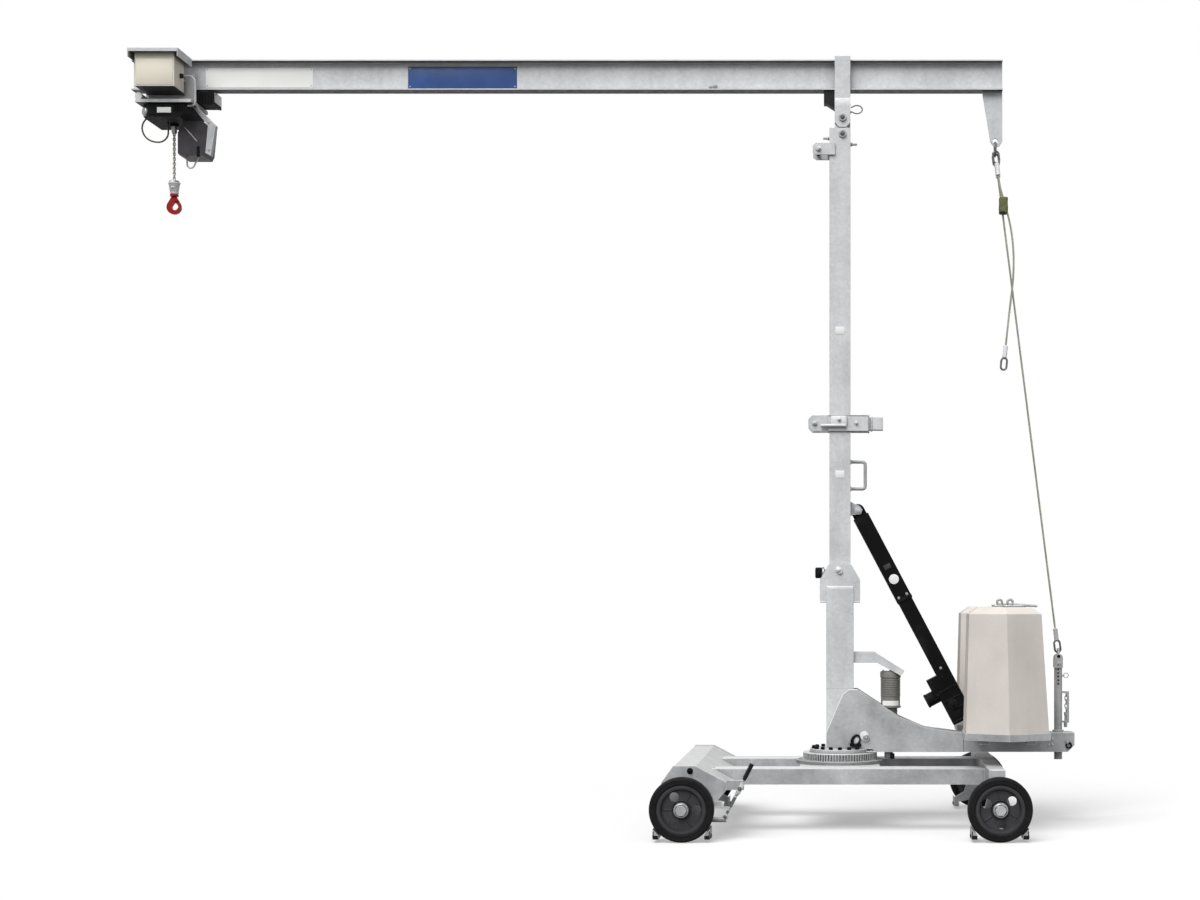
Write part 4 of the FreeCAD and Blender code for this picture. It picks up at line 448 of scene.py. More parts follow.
LEAD_ROUTE = [
    (-4556, -120, 4672), (-4590, -118, 4652), (-4612, -110, 4592), (-4580, -94, 4526),
    (-4500, -72, 4510), (-4456, -54, 4550), (-4452, -50, 4606), (-4456, -50, 4660),
]
LEAD = 0.011    # metres
lead = route_curve("hoist_lead", [at(*spot) for spot in LEAD_ROUTE], LEAD / 2)
lead.data.materials.append(MATERIALS["lead"])
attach(lead, "trolley")


# Detail pieces, in millimetres from the slewing axis

SHARP = math.radians(27)    # faces that meet at more than this keep a hard edge


def turns(count, start=0.0, step=None):
    """Angles in radians: from a start and a step in degrees, or shared out over the circle."""
    if step is None:
        return [math.tau * i / count for i in range(count)]
    return [math.radians(start + step * i) for i in range(count)]


def circle(center, radius, first, second, steps, start=0, end=360):
    """Points on an arc in the plane of two directions."""
    spots = []
    for i in range(steps + 1):
        turn = math.radians(start + (end - start) * i / steps)
        step = first * math.cos(turn) + second * math.sin(turn)
        spots.append(Vector(center) + radius * step)
    return spots


def mirrored(spot, s):
    x, y, z = spot
    return Vector((x, s * y, z))


class Piece:
    """Collects closed forms and makes one object of them."""

    def __init__(self):
        self.points, self.faces = [], []

    def add(self, points, faces):
        start = len(self.points)
        self.points += [Vector(point) for point in points]
        self.faces += [[start + i for i in face] for face in faces]

    def skin(self, rings, closed=False):
        """Faces from ring to ring, with a lid at both ends, or round to the first where closed."""
        count, steps = len(rings), len(rings[0])
        pairs = [(i, (i + 1) % count) for i in range(count if closed else count - 1)]
        faces = [
            [i * steps + j, i * steps + (j + 1) % steps, k * steps + (j + 1) % steps, k * steps + j]
            for i, k in pairs for j in range(steps)
        ]
        if not closed:
            faces += [list(range(steps)), list(range((count - 1) * steps, count * steps))]
        self.add([spot for ring in rings for spot in ring], faces)

    def lathe(self, origin, axis, profile, steps=20, closed=False):
        """Turned form of (radius, height) pairs along an axis, a ring where closed."""
        spin = UP.rotation_difference(Vector(axis).normalized()).to_matrix()
        self.skin([
            [Vector(origin) + spin @ Vector((r * math.cos(a), r * math.sin(a), h))
             for a in turns(steps)]
            for r, h in profile
        ], closed)

    def stud(self, spot, axis, side, top, steps=14, sunk=1.0):
        """Round head from the (radius, height) of its side and of its top."""
        self.lathe(spot, axis, [(side[0], -sunk), side, top], steps)

    def bolt(self, spot, axis, flat):
        """Hexagon head with a chamfer on a washer; flat is the width across the flats."""
        r = flat * 0.577
        rise = flat * 0.16
        wide = flat * 0.8
        self.lathe(spot, axis, [(wide, 0), (wide, rise * 0.8), (flat * 0.74, rise)], 18)
        self.lathe(spot, axis, [(r, rise), (r, flat * 0.62), (r * 0.86, flat * 0.74)], 6)
        stem = flat * 0.3
        self.lathe(spot, axis, [(stem, flat * 0.7), (stem, flat * 0.9), (flat * 0.22, flat)], 12)

    def tube(self, path, radius, sides=8, closed=False):
        """Round bar along points, with one radius or one for each point."""
        path = [Vector(spot) for spot in path]
        radii = radius if isinstance(radius, list) else [radius] * len(path)
        last = len(path) - 1
        rings, side = [], None
        for i, spot in enumerate(path):
            before = path[i - 1] if i or closed else spot
            after = path[(i + 1) % len(path)] if i < last or closed else spot
            along = (after - before).normalized()
            side = along.orthogonal() if side is None else side
            side = (side - along * side.dot(along)).normalized()
            other = along.cross(side)
            rings.append([
                spot + radii[i] * (side * math.cos(a) + other * math.sin(a)) for a in turns(sides)
            ])
        self.skin(rings, closed)

    def eye(self, center, radius, bar, steps, sides=8):
        """Ring of round bar that faces the near side."""
        self.tube(circle(center, radius, RIGHT, UP, steps)[:-1], bar, sides, True)

    def plate(self, low, high, bevel=2.0, turn=0.0):
        """Block with rounded edges, turned about its middle in the side view."""
        mesh = bmesh.new()
        bmesh.ops.create_cube(mesh, size=1)
        low, high = Vector(low), Vector(high)
        for vert in mesh.verts:
            vert.co = Vector(a + (c + 0.5) * (b - a) for a, b, c in zip(low, high, vert.co))
        bmesh.ops.bevel(
            mesh, geom=mesh.edges[:], offset=bevel, segments=2, profile=0.5, affect="EDGES",
        )
        spin = Matrix.Rotation(math.radians(turn), 3, "Y")
        middle = (low + high) / 2
        mesh.verts.index_update()
        self.add([middle + spin @ (v.co - middle) for v in mesh.verts],
                 [[v.index for v in f.verts] for f in mesh.faces])
        mesh.free()

    def slab(self, middle, half, bevel, turn):
        """Plate from its middle and half its size."""
        self.plate(middle - Vector(half), middle + Vector(half), bevel, turn)

    def bead(self, start, end, radius):
        """Weld seam: a low rippled ridge."""
        start, end = Vector(start), Vector(end)
        count = max(4, int((end - start).length / (radius * 1.3)))
        path = [start.lerp(end, i / count) for i in range(count + 1)]
        self.tube(path, [radius * (1.0 if i % 2 else 0.84) for i in range(count + 1)], 8)

    def seams(self, lines):
        """Weld seams on both sides, from the (start, end, radius) of the far ones."""
        for s in SIDES:
            for start, end, radius in lines:
                self.bead(mirrored(start, s), mirrored(end, s), radius)

    def done(self, name, body, slot, finish=None):
        """Makes the object, in its slot's material or in a finish of its own."""
        data = bpy.data.meshes.new(name)
        data.from_pydata([at(*spot) for spot in self.points], [], self.faces)
        mesh = bmesh.new()
        mesh.from_mesh(data)
        bmesh.ops.recalc_face_normals(mesh, faces=mesh.faces)
        mesh.to_mesh(data)
        mesh.free()
        data.shade_smooth()
        data.set_sharp_from_angle(angle=SHARP)
        data.materials.append(MATERIALS[finish or slot])
        thing = show(name, data)
        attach(thing, body)
        return thing


# Slewing ring: screws of the base disc, bolts of the turning flange, lid over the teeth
DISC_TOP, GEAR_TOP, FLANGE_TOP = 430, 473, 501
DISC_SCREWS, FLANGE_BOLTS = 267, 176    # radii of their circles
p = Piece()
for turn in turns(20, 9, 18):
    spot = (DISC_SCREWS * math.cos(turn), DISC_SCREWS * math.sin(turn), DISC_TOP)
    p.lathe(spot, UP, [(11, -1), (11, 2), (9, 3.5), (4, 3.5), (4, 1.5)], 16)
p.done("ring_bolts", "chassis", "fitting")
p = Piece()
for turn in turns(14, 50, 20):
    spot = (FLANGE_BOLTS * math.cos(turn), FLANGE_BOLTS * math.sin(turn), FLANGE_TOP)
    p.lathe(spot, UP, [(16, -1), (16, 3), (13.5, 3), (13.5, 16), (11, 18)], 18)
p.done("flange_bolts", "superstructure", "black_paint")
p = Piece()
p.lathe((0, 0, GEAR_TOP), UP, [(203, 0), (246, 0), (244, 5), (205, 5)], 96, True)
p.done("gear_cover", "chassis", "galvanised")

# Arm: boss and bolts, shackle and ring, pinion box with its plug, welds, bright zinc on the cheek
# edges as a painted highlight
CHEEK_FACE, ARM_FACE, PINION_FACE = -100, -90, -46
BOSS_X, BOSS_Z = 173, 577
SHACKLE_X, SHACKLE_Z = 106, 560
SHACKLE_STEPS = 24
p = Piece()
p.lathe((BOSS_X, CHEEK_FACE - 4, BOSS_Z), NEAR,
        [(22, -5), (22, 8), (19, 10), (14, 10), (14, -5)], 28, True)
p.bolt((BOSS_X, CHEEK_FACE - 5, BOSS_Z), NEAR, 20)
for x in (1380, 1404):
    for z in (528, 566):
        p.bolt((x, ARM_FACE, z), NEAR, 14)
p.bolt((1502, ARM_FACE, 548), NEAR, 22)
p.done("arm_bolts", "superstructure", "fitting")
p = Piece()
p.tube(
    [(SHACKLE_X + 25 * math.cos(a) + 8 * math.sin(a), CHEEK_FACE - 9, SHACKLE_Z + 34 * math.sin(a))
     for a in turns(SHACKLE_STEPS)],
    [7.5 + 3 * math.cos(math.tau * (i - 14) / SHACKLE_STEPS) for i in range(SHACKLE_STEPS)],
    closed=True,
)
for x, z in ((78, 532), (128, 530)):
    p.stud((x, CHEEK_FACE, z), NEAR, (13, 18), (10, 22))
p.eye((1512, ARM_FACE - 7, 526), 17, 5, 22)
p.stud((1512, ARM_FACE, 543), NEAR, (9, 12), (6, 14))
p.done("arm_shackle", "superstructure", "black_paint")
p = Piece()
p.plate((296, PINION_FACE, 436), (352, -PINION_FACE, 483), 5)
p.stud((322, PINION_FACE, 458), NEAR, (16, 9), (12, 12), 18, sunk=0)
p.done("pinion_box", "superstructure", "galvanised")
p = Piece()
p.lathe((344, PINION_FACE, 452), NEAR, [(13, -2), (13, 14), (9, 16), (9, 34), (7, 36)], 14)
p.plate((334, PINION_FACE - 16, 434), (362, PINION_FACE, 470), 4)
p.done("pinion_plug", "superstructure", "rubber")
p = Piece()
p.seams([
    ((-90, 100, 503), (240, 100, 482), 4),
    ((812, 91, 484), (812, 91, 606), 5),
    ((-90, 92, 613), (18, 92, 863), 4),
    ((-88, 90, 501), (88, 90, 501), 6),
])
p.bead((-90, -88, 501), (-90, 88, 501), 6)
p.done("arm_welds", "superstructure", "galvanised")
CHEEK_EDGE = [(-90, 505), (-90, 609), (20, 863), (60, 893), (118, 893)]
# Painted highlight: tubes in bright zinc along both cheek edges.
p = Piece()
for s in SIDES:
    p.tube([(x, s * 96.5, z) for x, z in CHEEK_EDGE], 4.2, 10)
p.stud((SHACKLE_X, CHEEK_FACE, SHACKLE_Z), NEAR, (22, 1.2), (20, 2), 28)
p.stud((161, CHEEK_FACE, 589), NEAR, (30, 3), (28, 4.5), 32)
p.done("cheek_edge_highlights", "superstructure", "galvanised", "plate_zinc")

# Chassis: welds, thin bright plates on the rail tops as a painted highlight, wedge ends of the
# rails, beam bolts
RAIL_Y, RAIL_TOP = 400, 406
RAIL_HEAD = [(-816, RAIL_TOP), (-676, RAIL_TOP), (-676, 326), (-690, 331)]
p = Piece()
p.seams([
    ((-260, 301, 404), (260, 301, 404), 5),
    ((-814, 302, 406), (-814, 498, 406), 5),
    ((929, 302, 404), (929, 498, 404), 5),
    ((-813, 500, 406), (-678, 500, 331), 5),
    ((-677, 500, 310), (-677, 500, 331), 5),
    ((930, 500, 332), (930, 500, 402), 5),
    ((931, 860, 430), (1027, 860, 430), 5),
])
p.done("chassis_welds", "chassis", "galvanised")
# Painted highlight: thin plates in a brighter zinc over the tops of the rails.
p = Piece()
for s in SIDES:
    p.plate((-806, s * RAIL_Y - 95, RAIL_TOP - 1), (925, s * RAIL_Y + 95, RAIL_TOP + 1), 0.8)
p.done("rail_top_highlights", "chassis", "galvanised", "galvanised_bright")
p = Piece()
for s in SIDES:
    p.skin([[Vector((x, s * y, z)) for x, z in RAIL_HEAD] for y in (300.4, 499.6)])
p.done("rail_heads", "chassis", "galvanised")
p = Piece()
for s in SIDES:
    p.bolt((-927, s * 874, 426), (0, s, 0), 24)
p.done("beam_bolts", "chassis", "black_paint")

# Brake lever: rod with its collars, fork, ribs of the grip
LEVER_FOOT, LEVER_HEAD = Vector((-709, -882, 142)), Vector((-592, -882, 371))
GRIP_FOOT = Vector((-589, -882, 378))
LEVER_TILT = 27
lever = LEVER_HEAD - LEVER_FOOT


def lever_rod(piece, collars, sides):
    """Round bar on the lever's line, from its (share of the length, radius) pairs."""
    line = [LEVER_FOOT + lever * share for share, r in collars]
    piece.tube(line, [r for share, r in collars], sides)


p = Piece()
lever_rod(p, [
    (0.02, 6), (0.1, 6), (0.11, 9), (0.16, 9), (0.17, 6), (0.27, 6), (0.28, 11), (0.55, 11),
    (0.56, 8), (0.97, 8),
], 12)
p.bolt((-709, -892, 142), NEAR, 15)
p.bolt((-618, -898, 318), NEAR, 16)
p.done("brake_linkage", "chassis", "black_paint", "dark_zinc")
p = Piece()
lever_rod(p, [(0.58, 9), (0.6, 13), (0.74, 13), (0.76, 9.5), (0.96, 9.5)], 14)
p.stud((-709, -870, 142), NEAR, (18, 20), (15, 23), 18, sunk=0)
for y in (-899, -872):
    p.plate((-630, y, 284), (-602, y + 6, 350), 2.5, LEVER_TILT)
p.plate((-658, -893, 262), (-636, -871, 274), 4, LEVER_TILT)
p.done("brake_fork", "chassis", "fitting", "galvanised_bright")
p = Piece()
grip = lever.normalized()
for i in range(9):
    p.lathe(GRIP_FOOT + grip * (8 + 11 * i), grip, [(13, 0), (15.5, 2), (15.5, 5), (13, 7)], 16)
p.done("brake_grip_ribs", "chassis", "rubber")

# Wheels: ribs and pips of the tyres, beads and ribs of the rims, hub rings
WHEELS = {"front": -968, "rear": 985}
WHEEL_Z = 200
TYRE_FACE, TYRE_BACK, RIM_FACE, RIM_DISC, HUB_FACE = 1045, 955, 1039, 1012, 1051.4
PIP_CIRCLE = 174
FIRST_RIB = {"front": 60, "rear": 96}
for end, x in WHEELS.items():
    for side, s in SIDE_NAMES.items():
        out = Vector((0, s, 0))
        body = "wheel_%s_%s" % (end, side)
        p = Piece()
        for r in (162, 184):
            rib = [(r - 4, -2), (r - 2, 1.6), (r + 2, 1.6), (r + 4, -2)]
            p.lathe((x, s * TYRE_FACE, WHEEL_Z), out, rib, 64, True)
            p.lathe((x, s * TYRE_BACK, WHEEL_Z), -out, rib, 64, True)
        for turn in turns(48):
            across, rise = PIP_CIRCLE * math.cos(turn), PIP_CIRCLE * math.sin(turn)
            p.stud((x + across, s * TYRE_FACE, WHEEL_Z + rise), out, (2.4, 0.8), (1.4, 1.2), 8)
        p.done("tyre_ribs_%s_%s" % (end, side), body, "tyre")
        p = Piece()
        p.lathe((x, s * RIM_FACE, WHEEL_Z), out,
                [(134, -2), (136, 2), (143, 3), (148, 2), (150, -2)], 64, True)
        base = Vector((x, s * RIM_DISC, WHEEL_Z))
        p.lathe(base, out, [(54, -2), (55, 5), (58, 7), (61, 5), (62, -2)], 48, True)
        for turn in turns(3, FIRST_RIB[end], 120):
            way = Vector((math.cos(turn), 0, math.sin(turn)))
            p.tube([base + way * 62, base + way * 92, base + way * 117], [5, 6, 5], 10)
        p.done("rim_beads_%s_%s" % (end, side), body, "rim")
        p = Piece()
        p.lathe((x, s * HUB_FACE, WHEEL_Z), out,
                [(36, -1), (36, 9), (38, 10.5), (43, 7), (45, 3), (45, -1)], 40, True)
        p.done("hub_ring_%s_%s" % (end, side), "chassis", "fitting")

# Shoes: rubber pads by the tyres and dark outer faces, near the floor
SHOE_X, SHOE_Y, SHOE_FACE = 168, 960, 1030
SHOE_TOP = 44
p = Piece()
for wheel in WHEELS.values():
    for way in SIDES:
        x = wheel + way * SHOE_X
        for s in SIDES:
            p.plate((x - 13, s * SHOE_Y - 40, 22), (x + 13, s * SHOE_Y + 40, SHOE_TOP), 4)
p.done("shoe_pads", "chassis", "rubber")
p = Piece()
for wheel in WHEELS.values():
    for s in SIDES:
        y = s * SHOE_FACE
        for way in SIDES:
            left, right = sorted((wheel + way * 141.5, wheel + way * 175))
            p.plate((left, y - 1.5, 21), (right, y + 1.5, SHOE_TOP), 1)
            x = wheel + way * 172
            p.plate((x - 3, y - 1.5, SHOE_TOP), (x + 3, y + 1.5, 70), 1)
p.done("shoe_faces", "chassis", "black_paint", "black_housing")

# Lower post: bolts, welds, flared faces, and bars of bright zinc on the edges at its top as a
# painted highlight
KNOB_Z, MAST_FACE = 1667, 70
POST_FACE = [(88, 900), (90.4, 900), (106, 1470), (106, 1557), (96, 1557), (88, 1470)]
p = Piece()
for s in SIDES:
    p.bolt((-10, s * 100, 1686), (0, s, 0), 26)
p.stud((-MAST_FACE, 0, KNOB_Z), LEFT, (34, 7), (30, 9), 6, sunk=0)
p.done("post_bolts", "superstructure", "fitting", "plate_zinc")
p = Piece()
p.seams([((-132, 99, 1473), (132, 99, 1473), 5), ((-84, 90, 1553), (84, 90, 1553), 6)])
p.done("post_welds", "superstructure", "galvanised")
p = Piece()
for s in SIDES:
    p.skin([[Vector((x, s * y, z)) for y, z in POST_FACE] for x in (-91, 91)])
p.done("post_faces", "superstructure", "galvanised", "galvanised_bright")
# Painted highlight: bars in bright zinc along the top edges of the post.
p = Piece()
for s in SIDES:
    p.plate((-88, s * 102 - 5, 1554), (88, s * 102 + 5, 1578), 4.5)
p.done("post_edge_highlights", "superstructure", "galvanised", "plate_zinc")

# Mast: handle with its welds, blank stickers
HANDLE_LOW, HANDLE_TOP, HANDLE_BEND = 2226, 2405, 19.6
BEND_X = 148.4
p = Piece()
bar = [Vector((MAST_FACE, 0, HANDLE_LOW))]
bar += circle((BEND_X, 0, HANDLE_LOW + HANDLE_BEND), HANDLE_BEND, DOWN, RIGHT, 6, 0, 90)
bar += circle((BEND_X, 0, HANDLE_TOP - HANDLE_BEND), HANDLE_BEND, RIGHT, UP, 6, 0, 90)
bar += [Vector((MAST_FACE, 0, HANDLE_TOP))]
p.tube(bar, 11, 14)
for z in (HANDLE_LOW, HANDLE_TOP):
    p.lathe((MAST_FACE, 0, z), RIGHT, [(17, -1), (16, 3), (12, 8)], 20)
p.done("handle_skin", "superstructure", "galvanised")
p = Piece()
for z in (2319, 3271):
    p.plate((-31, -MAST_FACE - 1.2, z - 25), (29, -MAST_FACE + 0.5, z + 25), 0.6)
p.done("blank_stickers", "superstructure", "galvanised", "plate_white")

# Actuator pins: rings and pin ends on the brackets
STRUT_HEAD, STRUT_FOOT = (118, 2079), (872, 650)
BRACKET_FACE = 32.3
p = Piece()
for x, z in (STRUT_HEAD, STRUT_FOOT):
    for s in SIDES:
        spot, out = (x, s * BRACKET_FACE, z), (0, s, 0)
        p.lathe(spot, out, [(11, -1), (26, -1), (26, 4), (22, 6), (11, 6)], 28, True)
        p.stud(spot, out, (11, 9), (8, 11), 18)
p.done("actuator_pins", "superstructure", "fitting", "galvanised")

# Knob: collar on its stud, ribs of its grip
p = Piece()
p.lathe((-MAST_FACE - 2, 0, KNOB_Z), LEFT,
        [(38, 0), (38, 8), (24, 12), (24, 30), (40, 34), (40, 44), (37, 47)], 28)
p.done("knob_collar", "superstructure", "fitting")
p = Piece()
for turn in turns(20):
    y, z = 33 * math.cos(turn), KNOB_Z + 33 * math.sin(turn)
    p.tube([(-121, y, z), (-162, y, z)], 3.2, 6)
p.done("knob_ribs", "superstructure", "rubber")

# Storage clamp and bracket: bolts and pins, folded lips with seams, lever
CLAMP_Z = 2657
p = Piece()
for x, y, z, flat in (
    (-168, -70, CLAMP_Z, 22), (108, -80, CLAMP_Z, 18), (-4, -100, CLAMP_Z + 21, 18),
    (-138, -82, 4472, 22),
):
    p.bolt((x, y, z), NEAR, flat)
p.lathe((-MAST_FACE, 0, 4559), LEFT, [(13, 0), (13, 12), (8, 14), (8, 40), (5, 43)], 14)
p.lathe((MAST_FACE, 0, 4519), RIGHT, [(13, 0), (13, 12), (8, 14), (8, 42), (5, 45)], 14)
p.done("clamp_bolts", "superstructure", "fitting", "galvanised")
p = Piece()
p.plate((184, -50, CLAMP_Z - 57), (196, 50, CLAMP_Z + 57), 3)
p.plate((206, -48, CLAMP_Z - 47), (216, 48, CLAMP_Z + 47), 3)
for z in (2607, 2708):
    p.bead((-78, -81, z), (186, -81, z), 3)
p.done("clamp_lips", "superstructure", "galvanised", "galvanised_bright")
p = Piece()
p.plate((-130, -104, 2632), (44, -79, 2650), 7)
p.plate((-62, -100, 2640), (46, -79, 2704), 8)
p.done("clamp_lever", "superstructure", "galvanised", "plate_zinc")

# Jib: root fillets, blank panels with their rivets, two bolts on the web
WEB_FACE, FILLET = 2.8, 9
BLUE_FACE, WHITE_FACE, PANEL_BACK = -5.2, -4.6, -2.2
FLANGE_LOW, FLANGE_HIGH = 4878.5, 5061.5
p = Piece()
for s in SIDES:
    for z, up in ((FLANGE_LOW, 1), (FLANGE_HIGH, -1)):
        loop = []
        for i in range(5):
            t = math.pi / 2 * i / 4
            y = WEB_FACE + FILLET - FILLET * math.sin(t)
            loop.append((s * y, z + up * (FILLET - FILLET * math.cos(t))))
        loop.append((s * 2.0, z - up * 0.8))
        p.skin([[Vector((x, y, height)) for y, height in loop] for x in (-4699, -1600, 1079)])
p.done("jib_fillets", "superstructure", "galvanised", "galvanised_bright")
p = Piece()
p.plate((-2875, BLUE_FACE, 4890), (-2150, PANEL_BACK, 5036), 1)
p.done("blue_panel", "superstructure", "galvanised", "panel_blue")
p = Piece()
p.plate((-4222, WHITE_FACE, 4897), (-3508, PANEL_BACK, 5028), 0.8)
p.done("white_panel", "superstructure", "galvanised", "plate_white")
p = Piece()
for x in (-2862, -2163):
    for z in (4903, 5023):
        p.stud((x, BLUE_FACE, z), NEAR, (5, 1.5), (3, 2.6), 12, sunk=0.5)
for x in (-4211, -3519):
    for z in (4908, 5017):
        p.stud((x, WHITE_FACE, z), NEAR, (4, 1.5), (2.5, 2.4), 12, sunk=0.5)
p.bolt((-830, -WEB_FACE, 4905), NEAR, 18)
p.bolt((-860, -WEB_FACE, 4899), NEAR, 14)
p.done("panel_rivets", "superstructure", "fitting")

# Jib strap: washers, bolts and clip, seams, and a fold at its edge in bright zinc as a painted
# highlight
STRAP_X = 17
STRAP_BOLTS = ((4683, -79), (4573, -84))    # height and face
CLIP_Y = -52
FOLD = [
    (62, 4758), (65.1, 4760), (66.2, 4770), (67.0, 4780), (67.2, 4788), (67.0, 4796),
    (66.2, 4804), (65.1, 4812), (62, 4814),
]
p = Piece()
for z, y in STRAP_BOLTS:
    p.lathe((STRAP_X, y + 2, z), NEAR, [(25, -6), (25, 0), (23, 1.5), (15, 1.5)], 24)
p.done("strap_washers", "superstructure", "fitting")
p = Piece()
for z, y in STRAP_BOLTS:
    p.bolt((STRAP_X, y, z), NEAR, 20)
clip = [Vector((72, CLIP_Y, 4722))]
for i in range(19):
    turn = math.radians(-140 + 280 * i / 18)
    clip.append(Vector((112 + 36 * math.cos(turn), CLIP_Y, 4738 + 27 * math.sin(turn))))
clip.append(Vector((72, CLIP_Y, 4752)))
p.tube(clip, 4.4)
p.stud((66, CLIP_Y, 4722), RIGHT, (9, 8), (6, 10), 12, sunk=0)
p.done("strap_pins", "superstructure", "fitting", "dark_zinc")
p = Piece()
p.seams([((948, 7, 4868), (1078, 7, 4868), 5), ((-33, 56, 4613), (50, 56, 4613), 5)])
p.done("strap_seams", "superstructure", "galvanised", "galvanised_bright")
# Painted highlight: the fold is in a brighter zinc than the strap.
p = Piece()
for s in SIDES:
    p.skin([[Vector((x, s * y, z)) for y, z in FOLD] for x in (-34.6, 17, 68.6)])
p.done("strap_fold_highlight", "superstructure", "galvanised", "plate_zinc")

# Ropes: strands wound round a core that follows the line's points
STRANDS, STRAND_TURN, ROPE_STEP = 6, 95, 10     # number, length of a turn, length of a step


def strands(name, spots, radius, body, slot):
    rope = Piece()
    lengths = [0.0]
    for a, b in zip(spots, spots[1:]):
        lengths.append(lengths[-1] + (b - a).length)
    count = int(lengths[-1] / ROPE_STEP)
    line, i = [], 0
    for k in range(count + 1):
        reach = lengths[-1] * k / count
        while i < len(spots) - 2 and lengths[i + 1] < reach:
            i += 1
        along = (spots[i + 1] - spots[i]).normalized()
        share = (reach - lengths[i]) / (lengths[i + 1] - lengths[i])
        line.append((spots[i].lerp(spots[i + 1], share), along, reach))
    rope.tube([spot for spot, along, reach in line], radius * 0.5)
    for strand in range(STRANDS):
        wound = []
        for spot, along, reach in line:
            turn = math.tau * (strand / STRANDS + reach / STRAND_TURN)
            side = (FAR - along * FAR.dot(along)).normalized()
            out = side * math.cos(turn) + along.cross(side) * math.sin(turn)
            wound.append(spot + radius * 0.655 * out)
        rope.tube(wound, radius * 0.345, 6)
    return rope.done(name, body, slot)


low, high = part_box("stay_rope")
lean = math.atan2(high.x - low.x - ROPE, high.z - low.z)
inset, lift = ROPE / 2 * math.cos(lean), ROPE / 2 * math.sin(lean)
stay = [local((low.x + inset, 0, high.z - lift)), local((high.x - inset, 0, low.z + lift))]
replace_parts(strands("stay_strands", stay, ROPE_RADIUS, "superstructure", "rope"), "stay_rope")

loose = [local(spot) for spot in route_points]
spare = strands("loose_rope", loose, ROPE_RADIUS, "superstructure", "rope")
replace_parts(spare, "spare_rope")

# Sleeves pressed round the ferrules at the ends of both ropes
SLEEVE = [
    (8, -3), (15, 0), (15.6, 10), (14.6, 24), (15.6, 40), (14.6, 56), (15.6, 70), (15, 78), (9, 81),
]
TO_RING = Vector((-18, 5, 158.3))
steps = [local(spot) for spot in route]
p = Piece()
for spot, way in (
    (stay[0], stay[0] - stay[1]), (steps[0], TO_RING), (steps[-1], steps[-1] - steps[-2]),
):
    p.lathe(spot, way, SLEEVE)
p.done("ferrule_sleeves", "superstructure", "fitting", "plate_zinc")
p = Piece()
p.lathe(stay[1], stay[1] - stay[0], SLEEVE)
p.done("foot_sleeve", "superstructure", "fitting", "galvanised")

# Keeper that ties the two ropes, and its band
KEEPER_Z = 4110
keeper = stay[0].lerp(stay[1], (stay[0].z - KEEPER_Z) / (stay[0].z - stay[1].z))
keeper += Vector((10, -15, 0))
p = Piece()
p.skin([
    [keeper + Vector((swell * (26 * math.cos(a) - 12 * math.sin(a)), swell * 29 * math.sin(a), z))
     for a in turns(24)]
    for z, swell in ((-53, 0.9), (-50, 1.0), (-20, 1.06), (14, 0.98), (46, 1.03), (53, 0.92))
])
p.done("rope_keeper", "superstructure", "rubber", "olive_strap")
p = Piece()
p.lathe(keeper + Vector((0, 0, -58)), UP, [(27, 0), (30, 2), (30, 12), (27, 14)], 24)
p.done("keeper_band", "superstructure", "rubber")

# Counterweights: upright eye and a rod of the lifting ring
EYE_X, EYE_Y, BLOCK_TOP = 1096, 422, 1441
for side, s in SIDE_NAMES.items():
    p = Piece()
    p.lathe((EYE_X, s * EYE_Y, BLOCK_TOP), UP, [(24, -1), (24, 7), (14, 10), (13, 18)], 20)
    p.eye((EYE_X, s * EYE_Y, BLOCK_TOP + 31), 17, 8, 24, 12)
    p.tube([(1112, s * 430, BLOCK_TOP + 17), (1270, s * 430, BLOCK_TOP + 6)], 8, 12)
    p.done("lifting_eye_" + side, "superstructure", "fitting")

# Trays: bolts on the cross bars
p = Piece()
for s in SIDES:
    for x in (918, 1218):
        for y in (114, 150):
            p.bolt((x, s * y, 594), UP, 16)
p.done("tray_bolts", "superstructure", "fitting")

# Tension tube: rims of its holes and black discs in them as painted shade, fork, ring pin, lever
# chain with its end
TUBE_X, TUBE_FACE = 1450, -25
FORK_X, FORK_Y, FORK_TOP, FORK_FOOT, FORK_HALF = 1452, 29, 1100, 1036, 29
PIN_Y, PIN_Z = -16, 985
p = Piece()
# Painted shade: black discs sunk in the holes of the tube, and one on the fork.
dark = Piece()
for i in range(5):
    spot = (TUBE_X, TUBE_FACE, 930 + 24 * i)
    p.lathe(spot, NEAR, [(7, -4), (7, 3.5), (10.5, 3.5), (10.5, -4)], 16, True)
    dark.stud(spot, NEAR, (7, 2.8), (6, 2.8), sunk=4)
for s in SIDES:
    y = s * FORK_Y
    fork = [Vector((FORK_X - FORK_HALF, y, FORK_FOOT))]
    fork += circle((FORK_X, y, FORK_TOP), FORK_HALF, RIGHT, UP, 14, 0, 180)[::-1]
    fork += [Vector((FORK_X + FORK_HALF, y, FORK_FOOT))]
    p.skin([[spot + Vector((0, d, 0)) for spot in fork] for d in (-5, 5)])
    p.bolt((FORK_X, y + s * 5, 1062), (0, s, 0), 16)
p.eye((1502, PIN_Y, PIN_Z), 16, 3, 22)
p.stud((1470, PIN_Y, PIN_Z), RIGHT, (7, 20), (5, 22), 12, sunk=0)
for i in range(5):
    link = Vector((1506, 0, 860 - 26 * i))
    flat = RIGHT if i % 2 else FAR
    loop = [link + flat * 9 * math.cos(a) + UP * 17 * math.sin(a) for a in turns(20)]
    p.tube(loop, 3.4, closed=True)
p.lathe((1502, 0, 640), UP,
        [(10, 0), (12, 4), (12, 40), (8, 46), (8, 78), (11, 82), (11, 100)], 14)
p.done("tension_trim", "superstructure", "fitting")
dark.stud((FORK_X, -FORK_Y - 5, 1112), NEAR, (11, 1.2), (9, 1.6), 18)
dark.done("tension_hole_shade", "superstructure", "black_paint")

